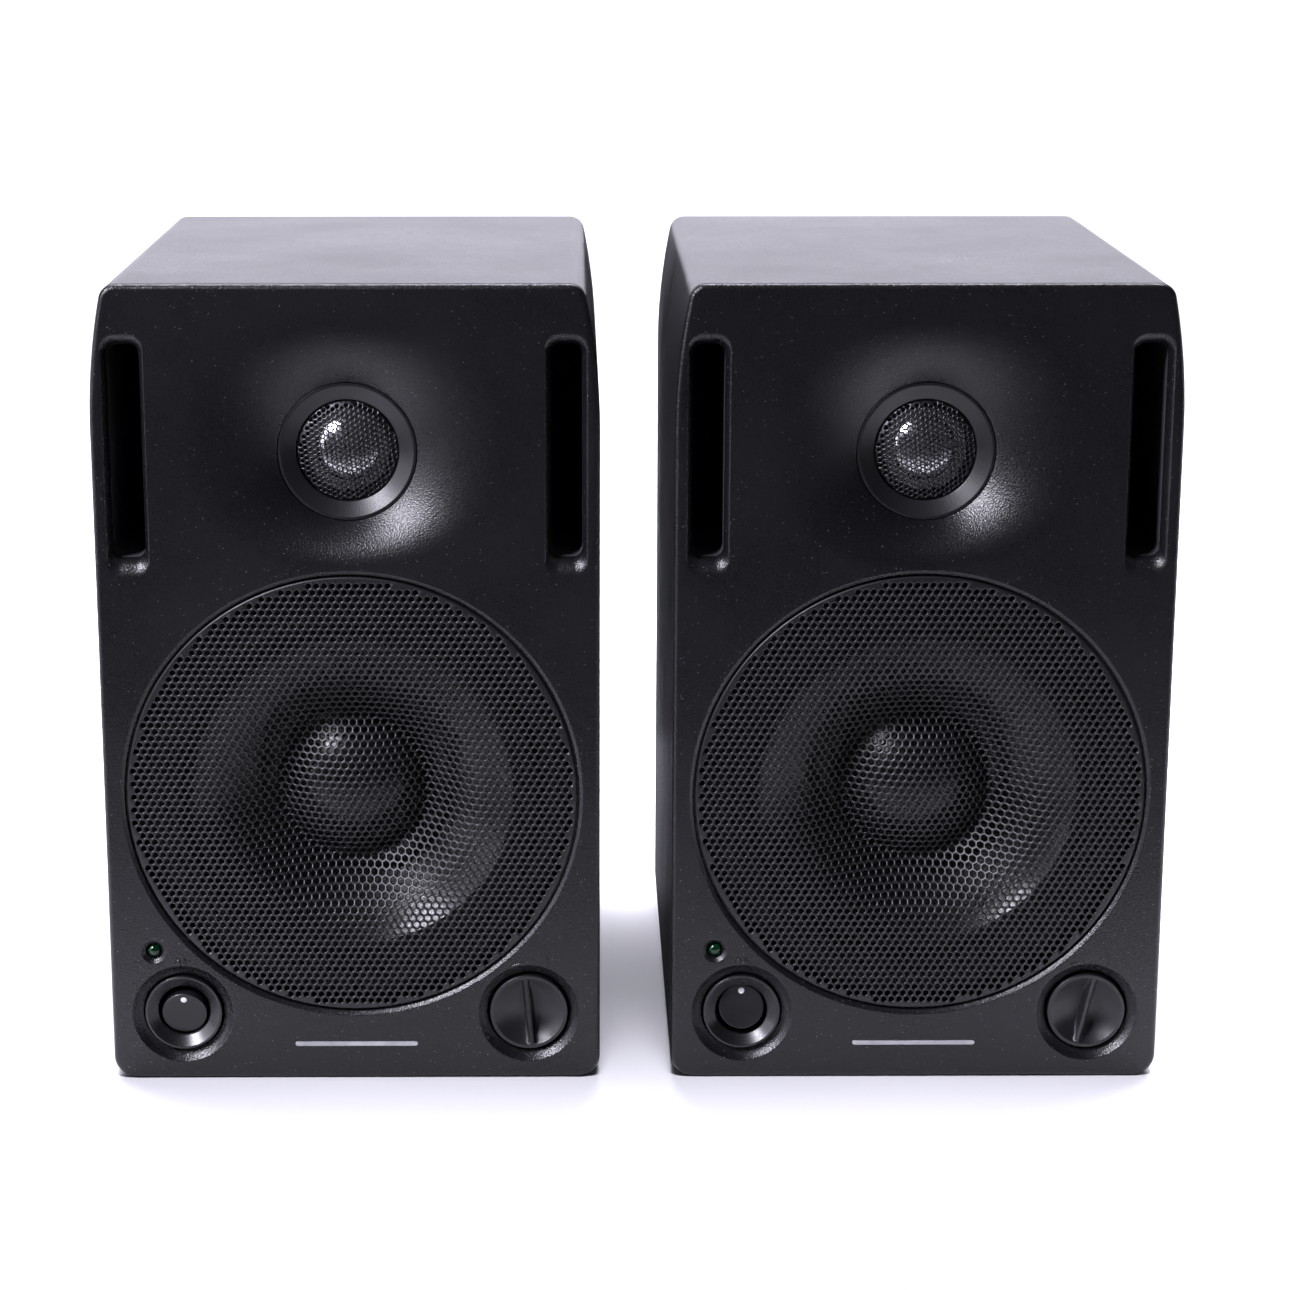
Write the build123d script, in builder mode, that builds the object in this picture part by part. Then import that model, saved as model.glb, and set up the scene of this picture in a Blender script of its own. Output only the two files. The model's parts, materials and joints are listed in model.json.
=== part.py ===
from build123d import *
import os
from math import asin, cos, degrees, sin

# A pair of compact two-way active speakers with die-cast cabinets, in millimetres.
# +X is to the listener's right, +Y runs from the baffle to the rear panel and +Z is up.
# The origin is the centre of the pair's footprint, on the surface that it stands on.

# ---------------------------------------------------------------- driving dimensions
WIDTH = 151
HEIGHT = 247
DEPTH = 191
SPACING = 173            # between the centres of the two speakers
WALL = 2.4               # casing wall
FOOT_CORNER = 7          # corner radius at the base, front view
TOP_CORNER = 5
LEAN_FROM = 203          # height above which the sides lean in
LEAN_RADIUS = 200

RIM = 2.4                # thickness of the baffle's visible rim
FRONT_ROUND = 1.6        # rounding of the baffle's front edge
REAR_ROUND = 2.5         # rounding of the casing's rear edge
SEAM = 0.4               # gap between baffle and casing, filled by the gasket
PLATE = 5                # baffle plate
TONGUE_GAP = 0.2         # baffle tongue to casing wall
BOSS_DEPTH = 8           # how far the bosses reach behind the baffle plate
THROUGH = 20             # length of a cut that goes right through a wall and its boss

WOOFER_Z = 91
GRILLE_R = 68.5
GRILLE_RECESS_R = 69
GRILLE_SEAT = 2.4        # depth of the ledge around the grille
GRILLE_FRONT = 0.8       # depth of the grille's flat rim below the baffle's face
GRILLE_THICK = 1
GRILLE_BEND_AT = 44      # inside this radius the grille dips, following the cone
GRILLE_BEND_R = 15.5
GRILLE_SLOPE = 38        # degrees
VALLEY_R = 22.4          # crease between the dip and the middle dome
VALLEY_DEPTH = 13.5
GRILLE_DOME_RISE = 8
FRAME_R = 66
FRAME_FRONT = 7
FRAME_SEAT = 9.5         # depth of the basket's seat
WOOFER_HOLE_R = 60.5
WOOFER_BOSS_R = 72.4
CONE_R = 50.3
CONE_FRONT = 7.2
CONE_APEX = 29
COIL_R = 13.2
CAP_R = 22
CAP_RISE = 11.5
ROLL_MIDDLE_R = 54.4     # half-roll surround
ROLL_R = 3.6
ROLL_WALL = 0.6
SPIDER_DEPTH = 42.2

TWEETER_Z = 196
DISH_DEPTH = 8.5
DISH_Z = 199
DISH_WIDTH = 98
DISH_HEIGHT = 72
DISH_CORNER = 30
RING_R = 20.7
RING_LENGTH = 5
MESH_R = 15.1
DOME_R = 9.5

PORT_X = 65.4
PORT_Z = 197
PORT_WIDTH = 9.6
PORT_HEIGHT = 64
PORT_CORNER = 3
PORT_FLARE = 3.4         # added to the slot's width at the flared mouth
DUCT_WALL = 1
DUCT_END = 115

CONTROL_Z = 21.3
CONTROL_X = 53.5         # power switch at -CONTROL_X, volume knob at +CONTROL_X
CONTROL_RECESS_R = 15.5
COVE_DEPTH = 2.6         # concave lip of a control's recess
CONTROL_BOSS_R = 17.5
BEZEL_R = 11.9
BEZEL_FRONT = 0.9
SWITCH_SEAT = 9.5        # depth at which the bezel gives way to the housing
SWITCH_R = 10.4          # housing behind the bezel
SWITCH_BACK = 24
LIP_R = 7.8              # opening of the bezel, over a wider chamber
LIP_BACK = 4.2
CHAMBER_R = 9
CHAMBER_BACK = 12.5
ROCKER_R = 7
ROCKER_FACE = 4.4        # rocker face to hinge axis
ROCKER_HINGE = 7.5       # depth of the hinge axis
ROCKER_TILT = 13         # each way from straight
TRUNNION_R = 1
TRUNNION_SPAN = 20.4
KNOB_R = 12
KNOB_FRONT = 1
KNOB_BACK = 9
SHAFT_R = 3
BUSH_R = 4.4             # bush of the volume control
RUNNING_GAP = 0.05       # radial clearance of shafts and pins
KNOB_TURN = {"left": -5.4, "right": 12.3}

LAMP_X = -62
LAMP_Z = 41.5
LAMP_R = 2.5
LAMP_GAP = 0.1
LAMP_BEVEL_R = 3.7
LAMP_BEVEL_DEPTH = 1.2

POCKET = 8               # depth of the rear pocket that holds the amplifier panel
REAR_WALL = 3
PANEL_WIDTH = 124
PANEL_LOW = 13
PANEL_HIGH = 177
PANEL_THICK = 3
PANEL_FACE = DEPTH - POCKET + PANEL_THICK    # depth of the panel's outer face
BACK = PANEL_FACE - PANEL_THICK              # depth of the panel's inner face
PANEL_LEDGE = 10         # width of the ledge that the panel is screwed to
SINK_Z = 132             # finned heat sink on the panel
SINK_WIDTH = 98
SINK_HEIGHT = 80
SINK_BASE = 1.2
SINK_PAD = 0.05          # heat-conducting film under the sink
FIN_COUNT = 12
FIN_PITCH = 8
FIN_WIDTH = 2
FIN_END = 190.5
SCREW_R = 2
SCREW_HEAD_R = 3.6
STUD_HOLE_R = 4          # core of the stand thread in the base
STUD_DEPTH = 88
BRACKET_HOLE_R = 2.5     # core of the M6 threads at the rear
BRACKET_SPACING = 70
BRACKET_Z = 212

INLET_X, INLET_Z = 34, 38
INLET_WIDTH, INLET_HEIGHT = 27, 20
XLR_X, XLR_Z = -34, 40
XLR_R = 12
JACK_X, JACK_Z = -34, 76
JACK_R = 3.2             # bore for a 6.35 mm plug
JACK_NOSE_R = 5
TONE_X, TONE_Z = 30, 76
TONE_WIDTH, TONE_HEIGHT = 22, 16
TONE_TRAVEL = 4
SOCKET_FLANGE = 2        # thickness of the inlet's, balanced input's and nut's flanges
TONE_ROWS = {"bass_slider": 4, "treble_slider": -4}

FRONT = -DEPTH / 2
HALF = WIDTH / 2


# ---------------------------------------------------------------- planes and profiles
def facing(x, depth, z):
    """A plane that faces the listener, `depth` behind the baffle's face; -amount goes to the rear."""
    return Plane(origin=(x, FRONT + depth, z), x_dir=(1, 0, 0), z_dir=(0, -1, 0))


def along(x, z):
    """A half-section plane for turned parts: its x is the depth and its y the radius."""
    return Plane(origin=(x, FRONT, z), x_dir=(0, 1, 0), z_dir=(1, 0, 0))


def line_of(x, z):
    return Axis((x, FRONT, z), (0, 1, 0))


def outline(depth, inset=0.0):
    """Front view of the cabinet: upright sides that lean in towards a flat top."""
    lean = degrees(asin((HEIGHT - LEAN_FROM) / LEAN_RADIUS))
    with BuildSketch(facing(0, depth, 0)) as section:
        with BuildLine():
            base = Line((-HALF, 0), (HALF, 0))
            right = Line(base @ 1, (HALF, LEAN_FROM))
            right_lean = JernArc(right @ 1, (0, 1), LEAN_RADIUS, lean)
            left = Line(base @ 0, (-HALF, LEAN_FROM))
            left_lean = JernArc(left @ 1, (0, 1), LEAN_RADIUS, -lean)
            Line(right_lean @ 1, left_lean @ 1)
        make_face()
        fillet(section.vertices().group_by(Axis.Y)[0], FOOT_CORNER)
        fillet(section.vertices().group_by(Axis.Y)[-1], TOP_CORNER)
        if inset:
            offset(amount=-inset)
    return section.sketch


def slot(x, z, depth, width, height, corner):
    with BuildSketch(facing(x, depth, z)) as section:
        RectangleRounded(width, height, corner)
    return section.sketch


def disc(x, z, depth, radius):
    with BuildSketch(facing(x, depth, z)) as section:
        Circle(radius)
    return section.sketch


def turned(points, x, z):
    """A solid of revolution from a closed profile of (depth, radius) points."""
    with BuildPart() as piece:
        with BuildSketch(along(x, z)):
            with BuildLine():
                Polyline(*points, close=True)
            make_face()
        revolve(axis=line_of(x, z))
    return piece


def arc_middle(radius, rim_depth, rise):
    """Depth and radius halfway along the arc of a spherical cap."""
    ball = (radius**2 + rise**2) / (2 * rise)
    half_angle = asin(radius / ball) / 2
    return rim_depth - rise + ball * (1 - cos(half_angle)), ball * sin(half_angle)


def dome(x, z, radius, rim_depth, rise, thickness):
    """A thin spherical cap that bulges towards the listener."""
    middle_depth, middle_radius = arc_middle(radius, rim_depth, rise)
    with BuildPart() as piece:
        with BuildSketch(along(x, z)):
            with BuildLine():
                outer = ThreePointArc((rim_depth, radius), (middle_depth, middle_radius),
                                      (rim_depth - rise, 0))
                nose = Line(outer @ 1, (rim_depth - rise + thickness, 0))
                inner = ThreePointArc(nose @ 1, (middle_depth + thickness, middle_radius),
                                      (rim_depth + thickness, radius))
                Line(inner @ 1, outer @ 0)
            make_face()
        revolve(axis=line_of(x, z))
    return piece


def level(z):
    return Plane(origin=(0, 0, z), x_dir=(1, 0, 0), z_dir=(0, 0, 1))


def divided(solids, planes):
    """The solids after a cut along each plane in turn; nothing is taken away."""
    for plane in planes:
        halves = [split(solid, bisect_by=plane, keep=keep)
                  for solid in solids for keep in (Keep.TOP, Keep.BOTTOM)]
        solids = [solid for half in halves if half for solid in half.solids()]
    return solids


# ---------------------------------------------------------------- cabinet
def make_front_baffle():
    """Die-cast baffle: rim, tongue, bosses, waveguide dish, driver seats and port flares."""
    dish_boss = (DISH_WIDTH + 6, DISH_HEIGHT + 4, 22)
    throat = 2 * RING_R + 0.6
    with BuildPart() as piece:
        extrude(outline(0), amount=-RIM)
        fillet(piece.faces().sort_by(Axis.Y)[0].edges(), FRONT_ROUND)
        extrude(outline(RIM, WALL + TONGUE_GAP), amount=-(PLATE - RIM))
        extrude(disc(0, WOOFER_Z, PLATE, WOOFER_BOSS_R), amount=-BOSS_DEPTH)
        extrude(slot(0, DISH_Z, PLATE, *dish_boss), amount=-(BOSS_DEPTH + 1))
        for x in (-CONTROL_X, CONTROL_X):
            extrude(disc(x, CONTROL_Z, PLATE, CONTROL_BOSS_R), amount=-BOSS_DEPTH)
        # woofer: grille recess, frame seat and opening
        for radius, depth in ((GRILLE_RECESS_R, GRILLE_SEAT), (FRAME_R + 0.4, FRAME_SEAT),
                              (WOOFER_HOLE_R, THROUGH)):
            extrude(disc(0, WOOFER_Z, 0, radius), amount=-depth, mode=Mode.SUBTRACT)
        # waveguide dish, ring seat and tweeter opening
        loft([
            slot(0, DISH_Z, 0, DISH_WIDTH, DISH_HEIGHT, DISH_CORNER),
            slot(0, DISH_Z - 1, 4, 68, 56, 27),
            slot(0, TWEETER_Z, DISH_DEPTH, throat, throat, RING_R),
        ], mode=Mode.SUBTRACT)
        extrude(disc(0, TWEETER_Z, DISH_DEPTH - 1, throat / 2), amount=-(RING_LENGTH + 1.1),
                mode=Mode.SUBTRACT)
        extrude(disc(0, TWEETER_Z, 0, RING_R - 2.1), amount=-THROUGH, mode=Mode.SUBTRACT)
        # port flares
        for x in (-PORT_X, PORT_X):
            loft([
                slot(x, PORT_Z - 1, 0, PORT_WIDTH + PORT_FLARE, PORT_HEIGHT + 9, PORT_CORNER + 1.5),
                slot(x, PORT_Z, PLATE, PORT_WIDTH, PORT_HEIGHT, PORT_CORNER),
            ], mode=Mode.SUBTRACT)
            extrude(slot(x, PORT_Z, 0, PORT_WIDTH, PORT_HEIGHT, PORT_CORNER),
                    amount=-THROUGH, mode=Mode.SUBTRACT)
        # control recesses: a concave lip, then the seat of the switch and the well of the knob
        for x, well_r in ((-CONTROL_X, BEZEL_R + 0.1), (CONTROL_X, KNOB_R + 0.6)):
            with BuildSketch(along(x, CONTROL_Z)):
                with BuildLine():
                    cove = ThreePointArc((0, CONTROL_RECESS_R), (1.9, CONTROL_RECESS_R - 1.3),
                                         (COVE_DEPTH, well_r))
                    Polyline(cove @ 1, (COVE_DEPTH, 0), (0, 0), cove @ 0)
                make_face()
            revolve(axis=line_of(x, CONTROL_Z), mode=Mode.SUBTRACT)
            extrude(disc(x, CONTROL_Z, 0, well_r), amount=-(KNOB_BACK + 0.6), mode=Mode.SUBTRACT)
        extrude(disc(-CONTROL_X, CONTROL_Z, 0, SWITCH_R + 0.2), amount=-THROUGH, mode=Mode.SUBTRACT)
        extrude(disc(CONTROL_X, CONTROL_Z, 0, BUSH_R + 0.2), amount=-THROUGH, mode=Mode.SUBTRACT)
        # lamp hole with a bevelled mouth
        loft([disc(LAMP_X, LAMP_Z, 0, LAMP_BEVEL_R),
              disc(LAMP_X, LAMP_Z, LAMP_BEVEL_DEPTH, LAMP_R + LAMP_GAP)], mode=Mode.SUBTRACT)
        extrude(disc(LAMP_X, LAMP_Z, 0, LAMP_R + LAMP_GAP), amount=-THROUGH, mode=Mode.SUBTRACT)
    return piece


def make_rear_casing():
    """Die-cast rear casing: a deep shell with a pocket for the amplifier panel.

    The casting is divided along flat planes into plain walls and blocks, so that each
    of them is close to convex.
    """
    start = RIM + SEAM
    cavity_end = DEPTH - POCKET - REAR_WALL
    panel_z = (PANEL_LOW + PANEL_HIGH) / 2
    panel_h = PANEL_HIGH - PANEL_LOW
    bracket_boss_r = 7
    stud_boss_r = 9
    stud_boss_top = 12.2
    hollow_z = BRACKET_Z + 1
    hollow_height = 54
    with BuildPart() as piece:
        extrude(outline(start), amount=-(DEPTH - start))
        fillet(piece.faces().sort_by(Axis.Y)[-1].edges(), REAR_ROUND)
        extrude(outline(start, WALL), amount=-(cavity_end - start), mode=Mode.SUBTRACT)
        # hollow behind the upper rear wall, with two thread bosses left standing
        extrude(slot(0, hollow_z, cavity_end, 118, hollow_height, 6), amount=-POCKET,
                mode=Mode.SUBTRACT)
        for x in (-BRACKET_SPACING / 2, BRACKET_SPACING / 2):
            extrude(disc(x, BRACKET_Z, cavity_end, bracket_boss_r), amount=-(POCKET + 1))
        # boss of the stand thread
        with BuildSketch(Plane.XY.offset(WALL / 2)):
            with Locations((0, FRONT + STUD_DEPTH)):
                Circle(stud_boss_r)
        extrude(amount=stud_boss_top - WALL / 2)
        # pocket and opening of the amplifier panel
        extrude(slot(0, panel_z, DEPTH - POCKET, PANEL_WIDTH + 1, panel_h + 1, 6),
                amount=-(POCKET + 1), mode=Mode.SUBTRACT)
        extrude(slot(0, panel_z, cavity_end - 1, PANEL_WIDTH - 2 * PANEL_LEDGE,
                     panel_h - 2 * PANEL_LEDGE, 4), amount=-(REAR_WALL + 2), mode=Mode.SUBTRACT)
        # threads
        for x in (-BRACKET_SPACING / 2, BRACKET_SPACING / 2):
            extrude(disc(x, BRACKET_Z, cavity_end - 1, BRACKET_HOLE_R), amount=-THROUGH,
                    mode=Mode.SUBTRACT)
        with BuildSketch(Plane.XY.offset(-1)):
            with Locations((0, FRONT + STUD_DEPTH)):
                Circle(STUD_HOLE_R)
        extrude(amount=THROUGH, mode=Mode.SUBTRACT)
        for x, z in panel_screw_places():
            extrude(disc(x, z, cavity_end - 1, SCREW_R + RUNNING_GAP), amount=-THROUGH,
                    mode=Mode.SUBTRACT)
    tube = split(piece.part, bisect_by=facing(0, cavity_end, 0), keep=Keep.TOP)
    rear = split(piece.part, bisect_by=facing(0, cavity_end, 0), keep=Keep.BOTTOM)
    upper = split(rear, bisect_by=level(PANEL_HIGH + 0.5), keep=Keep.TOP)
    lower = split(rear, bisect_by=level(PANEL_HIGH + 0.5), keep=Keep.BOTTOM)
    ledge = split(lower, bisect_by=facing(0, DEPTH - POCKET, 0), keep=Keep.TOP)
    frame = split(lower, bisect_by=facing(0, DEPTH - POCKET, 0), keep=Keep.BOTTOM)
    hollow_low, hollow_high = hollow_z - hollow_height / 2, hollow_z + hollow_height / 2
    bars = divided(upper.solids(), [level(hollow_low), level(hollow_high)])
    middle = sorted(bars, key=lambda bar: abs(bar.center().Z - hollow_z))[0]
    bars.remove(middle)
    walls = divided(tube.solids(), [level(z) for z in (WALL, stud_boss_top, LEAN_FROM,
                                                       hollow_high, HEIGHT - WALL)])
    rims = divided(ledge.solids(), [level(PANEL_LOW + PANEL_LEDGE), level(PANEL_HIGH - PANEL_LEDGE)])
    jambs = divided(frame.solids(), [level(PANEL_LOW - 0.5)])
    plates = divided([middle], [facing(0, DEPTH - REAR_WALL, 0)])
    piece.part = Compound(walls + rims + jambs + bars + plates)
    return piece


def make_casing_gasket():
    """Flat gasket that fills the seam and shows as a dark line."""
    set_back = 0.7
    with BuildPart() as piece:
        extrude(outline(RIM, set_back), amount=-SEAM)
        extrude(outline(RIM, WALL), amount=-SEAM, mode=Mode.SUBTRACT)
    return piece


def make_port_ducts():
    """Two flat reflex ducts behind the slots of the baffle."""
    length = DUCT_END - PLATE
    with BuildPart() as piece:
        for x in (-PORT_X, PORT_X):
            extrude(slot(x, PORT_Z, PLATE, PORT_WIDTH + 2 * DUCT_WALL, PORT_HEIGHT + 2 * DUCT_WALL,
                         PORT_CORNER + DUCT_WALL), amount=-length)
            extrude(slot(x, PORT_Z, PLATE, PORT_WIDTH, PORT_HEIGHT, PORT_CORNER),
                    amount=-length, mode=Mode.SUBTRACT)
    return piece


# ---------------------------------------------------------------- woofer
def grille_contour(shift):
    """Half-section of the grille: flat rim, dip over the cone, crease and middle dome."""
    dome_middle = arc_middle(VALLEY_R, VALLEY_DEPTH, GRILLE_DOME_RISE)
    rim = Line((GRILLE_FRONT + shift, GRILLE_R), (GRILLE_FRONT + shift, GRILLE_BEND_AT))
    bend = JernArc(rim @ 1, (0, -1), GRILLE_BEND_R, GRILLE_SLOPE)
    dip = Line(bend @ 1, (VALLEY_DEPTH + shift, VALLEY_R))
    nose = ThreePointArc(dip @ 1, (dome_middle[0] + shift, dome_middle[1]),
                         (VALLEY_DEPTH - GRILLE_DOME_RISE + shift, 0))
    return rim @ 0, nose @ 1


def make_woofer_grille():
    """Pressed steel grille that follows the cone; its perforation is left out here."""
    with BuildPart() as piece:
        with BuildSketch(along(0, WOOFER_Z)):
            with BuildLine():
                front_edge, front_nose = grille_contour(0)
                rear_edge, rear_nose = grille_contour(GRILLE_THICK)
                Line(front_edge, rear_edge)
                Line(front_nose, rear_nose)
            make_face()
        revolve(axis=line_of(0, WOOFER_Z))
    return piece


def make_woofer_frame():
    """Cast basket: flange, six arms, spider ledge and magnet seat."""
    front = FRAME_FRONT
    neck_r = 60
    ledge = (SPIDER_DEPTH + 1, 31)
    seat = (50, 15.5)
    wall = 2.5
    with BuildPart() as piece:
        with BuildSketch(along(0, WOOFER_Z)):
            with BuildLine():
                Polyline((front, neck_r - 1.5), (front, FRAME_R), (front + wall, FRAME_R),
                         (front + wall, neck_r), (front + 6, neck_r), (44, 40), (seat[0], 38), seat,
                         (seat[0] - wall, seat[1]), (seat[0] - wall, ledge[1]), ledge,
                         (ledge[0], 37), (front + 5, neck_r - 3), close=True)
            make_face()
        revolve(axis=line_of(0, WOOFER_Z))
        # windows between the arms
        with BuildSketch(facing(0, 15, WOOFER_Z)):
            with PolarLocations(47.5, 6):
                Rectangle(21, 38)
        extrude(amount=-26, mode=Mode.SUBTRACT)
        with BuildSketch(facing(0, front - 1, WOOFER_Z)):
            with PolarLocations(63.2, 6, start_angle=30):
                Circle(1.6)
        extrude(amount=-6, mode=Mode.SUBTRACT)
    return piece


def make_woofer_magnet():
    """Top plate, ferrite ring, back plate and vented pole around the coil gap."""
    top_plate = (50.2, 55)
    ring_end = 69
    back_plate_end = 75
    gap_in, gap_out = 11.7, 14.2
    vent_r = 5
    steel_r, ferrite_r = 38, 43
    return turned([(top_plate[0], gap_out), (top_plate[0], steel_r), (top_plate[1], steel_r),
                   (top_plate[1], ferrite_r), (ring_end, ferrite_r), (ring_end, steel_r),
                   (back_plate_end, steel_r), (back_plate_end, vent_r),
                   (top_plate[0] + 0.8, vent_r), (top_plate[0] + 0.8, gap_in),
                   (ring_end - 1, gap_in), (ring_end - 1, 24), (top_plate[1], 24),
                   (top_plate[1], gap_out)], 0, WOOFER_Z)


def make_woofer_cone():
    """Cone with its voice coil former."""
    paper = 1.1
    former = 0.7
    coil_end = 57
    return turned([(CONE_FRONT, CONE_R), (CONE_FRONT + paper, CONE_R),
                   (CONE_APEX + paper, COIL_R + 0.4), (CONE_APEX + paper, COIL_R),
                   (coil_end, COIL_R), (coil_end, COIL_R - former),
                   (CONE_APEX, COIL_R - former)], 0, WOOFER_Z)


def make_dust_cap():
    slope = (CONE_APEX - CONE_FRONT) / (CONE_R - COIL_R + 0.7)
    thickness = 0.7
    rim_depth = CONE_FRONT + (CONE_R - CAP_R) * slope - thickness - 0.1
    return dome(0, WOOFER_Z, CAP_R, rim_depth, CAP_RISE, thickness)


def make_woofer_surround():
    """Half-roll rubber surround with a flat foot on the frame and a lip over the cone."""
    foot = FRAME_FRONT - 0.05
    front = foot - ROLL_WALL
    outer_r, inner_r = 62.5, 48.6
    under_r = ROLL_R - ROLL_WALL
    with BuildPart() as piece:
        with BuildSketch(along(0, WOOFER_Z)):
            with BuildLine():
                flat = Polyline((front, outer_r), (foot, outer_r), (foot, ROLL_MIDDLE_R + under_r))
                under = ThreePointArc(flat @ 1, (foot - under_r, ROLL_MIDDLE_R),
                                      (foot, ROLL_MIDDLE_R - under_r))
                lip = Polyline(under @ 1, (foot, inner_r), (front, inner_r),
                               (front, ROLL_MIDDLE_R - ROLL_R))
                over = ThreePointArc(lip @ 1, (front - ROLL_R, ROLL_MIDDLE_R),
                                     (front, ROLL_MIDDLE_R + ROLL_R))
                Line(over @ 1, flat @ 0)
            make_face()
        revolve(axis=line_of(0, WOOFER_Z))
    return piece


def make_woofer_spider():
    """Corrugated cloth disc that centres the voice coil."""
    cloth = 0.5
    pitch = 2.2
    fold = 0.8
    first = COIL_R + 0.4
    crests = [(SPIDER_DEPTH + (fold if i % 2 else 0), first + i * pitch) for i in range(9)]
    rear = [(depth + cloth, radius) for depth, radius in reversed(crests)]
    return turned(crests + rear, 0, WOOFER_Z)


# ---------------------------------------------------------------- tweeter
def make_tweeter_ring():
    """Moulded ring with a conical throat at the bottom of the waveguide."""
    front = DISH_DEPTH
    bore_r = MESH_R + 0.3
    return turned([(front, RING_R), (front, RING_R - 0.7), (front + 2.4, bore_r),
                   (front + RING_LENGTH, bore_r), (front + RING_LENGTH, RING_R)], 0, TWEETER_Z)


def make_tweeter_mesh():
    return dome(0, TWEETER_Z, MESH_R, DISH_DEPTH + 3, 3.2, 0.5)


def make_tweeter_dome():
    """Metal dome with its coil former and the flat suspension around it."""
    rim = DISH_DEPTH + RING_LENGTH
    skin = 0.3
    former_r = DOME_R - 0.4
    coil_end = rim + 4.5
    cap = dome(0, TWEETER_Z, DOME_R, rim, 3.2, skin)
    with BuildPart() as piece:
        add(cap.part)
        with BuildSketch(along(0, TWEETER_Z)):
            with BuildLine():
                Polyline((rim, former_r), (rim, 12.6), (rim + skin, 12.6), (rim + skin, DOME_R),
                         (coil_end, DOME_R), (coil_end, former_r), close=True)
            make_face()
        revolve(axis=line_of(0, TWEETER_Z))
    return piece


def make_tweeter_magnet():
    """Face plate, ring magnet, back plate and pole of the tweeter."""
    front = DISH_DEPTH + RING_LENGTH + 1
    plate_end = front + 3
    back = front + 16
    gap_end = front + 8
    pole_r, gap_r = 8.3, 10.3
    magnet_r, plate_r = 17, 18.2
    return turned([(front, gap_r), (front, plate_r), (plate_end, plate_r), (plate_end, magnet_r),
                   (back, magnet_r), (back, 0), (front + 1, 0), (front + 1, pole_r),
                   (gap_end, pole_r), (gap_end, gap_r)], 0, TWEETER_Z)


# ---------------------------------------------------------------- controls and lamp
def make_power_lamp():
    """Lamp lens with a rounded nose."""
    nose_depth = 0.4
    lens_end = 12
    with BuildPart() as piece:
        with BuildSketch(along(LAMP_X, LAMP_Z)):
            with BuildLine():
                nose = CenterArc((LAMP_R + nose_depth, 0), LAMP_R, 90, 90)
                Polyline(nose @ 1, (lens_end, 0), (lens_end, LAMP_R), nose @ 0)
            make_face()
        revolve(axis=line_of(LAMP_X, LAMP_Z))
    return piece


def make_switch_body():
    """Round bezel with a conical mouth, on the switch's housing and two terminals."""
    with BuildPart() as piece:
        with BuildSketch(along(-CONTROL_X, CONTROL_Z)):
            with BuildLine():
                Polyline((BEZEL_FRONT, BEZEL_R), (BEZEL_FRONT, BEZEL_R - 0.9),
                         (LIP_BACK - 0.8, LIP_R), (LIP_BACK, LIP_R), (LIP_BACK, CHAMBER_R),
                         (CHAMBER_BACK, CHAMBER_R), (CHAMBER_BACK, 0), (SWITCH_BACK, 0),
                         (SWITCH_BACK, SWITCH_R), (SWITCH_SEAT, SWITCH_R),
                         (SWITCH_SEAT, BEZEL_R), close=True)
            make_face()
        revolve(axis=line_of(-CONTROL_X, CONTROL_Z))
        for across in (-4, 4):
            extrude(disc(-CONTROL_X + across, CONTROL_Z, SWITCH_BACK, 1.4), amount=-6)
        bearing_span = TRUNNION_SPAN + 0.4
        with BuildSketch(Plane.YZ.offset(-CONTROL_X - bearing_span / 2)):
            with Locations((FRONT + ROCKER_HINGE, CONTROL_Z)):
                Circle(TRUNNION_R + RUNNING_GAP)
        extrude(amount=bearing_span, mode=Mode.SUBTRACT)
    return piece


def make_switch_rocker(tilt):
    """Round rocker on two trunnions, tipped to one of its two rest positions."""
    face = ROCKER_HINGE - ROCKER_FACE
    tail_r = 5
    with BuildPart() as piece:
        extrude(disc(-CONTROL_X, CONTROL_Z, face, ROCKER_R), amount=-3)
        fillet(piece.faces().sort_by(Axis.Y)[0].edges(), 0.5)
        extrude(disc(-CONTROL_X, CONTROL_Z, face + 3, tail_r), amount=-4)
        with BuildSketch(Plane.YZ.offset(-CONTROL_X - TRUNNION_SPAN / 2)):
            with Locations((FRONT + ROCKER_HINGE, CONTROL_Z)):
                Circle(TRUNNION_R)
        extrude(amount=TRUNNION_SPAN)
    hinge = Axis((-CONTROL_X, FRONT + ROCKER_HINGE, CONTROL_Z), (1, 0, 0))
    piece.part = piece.part.rotate(hinge, tilt)
    return piece


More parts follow.
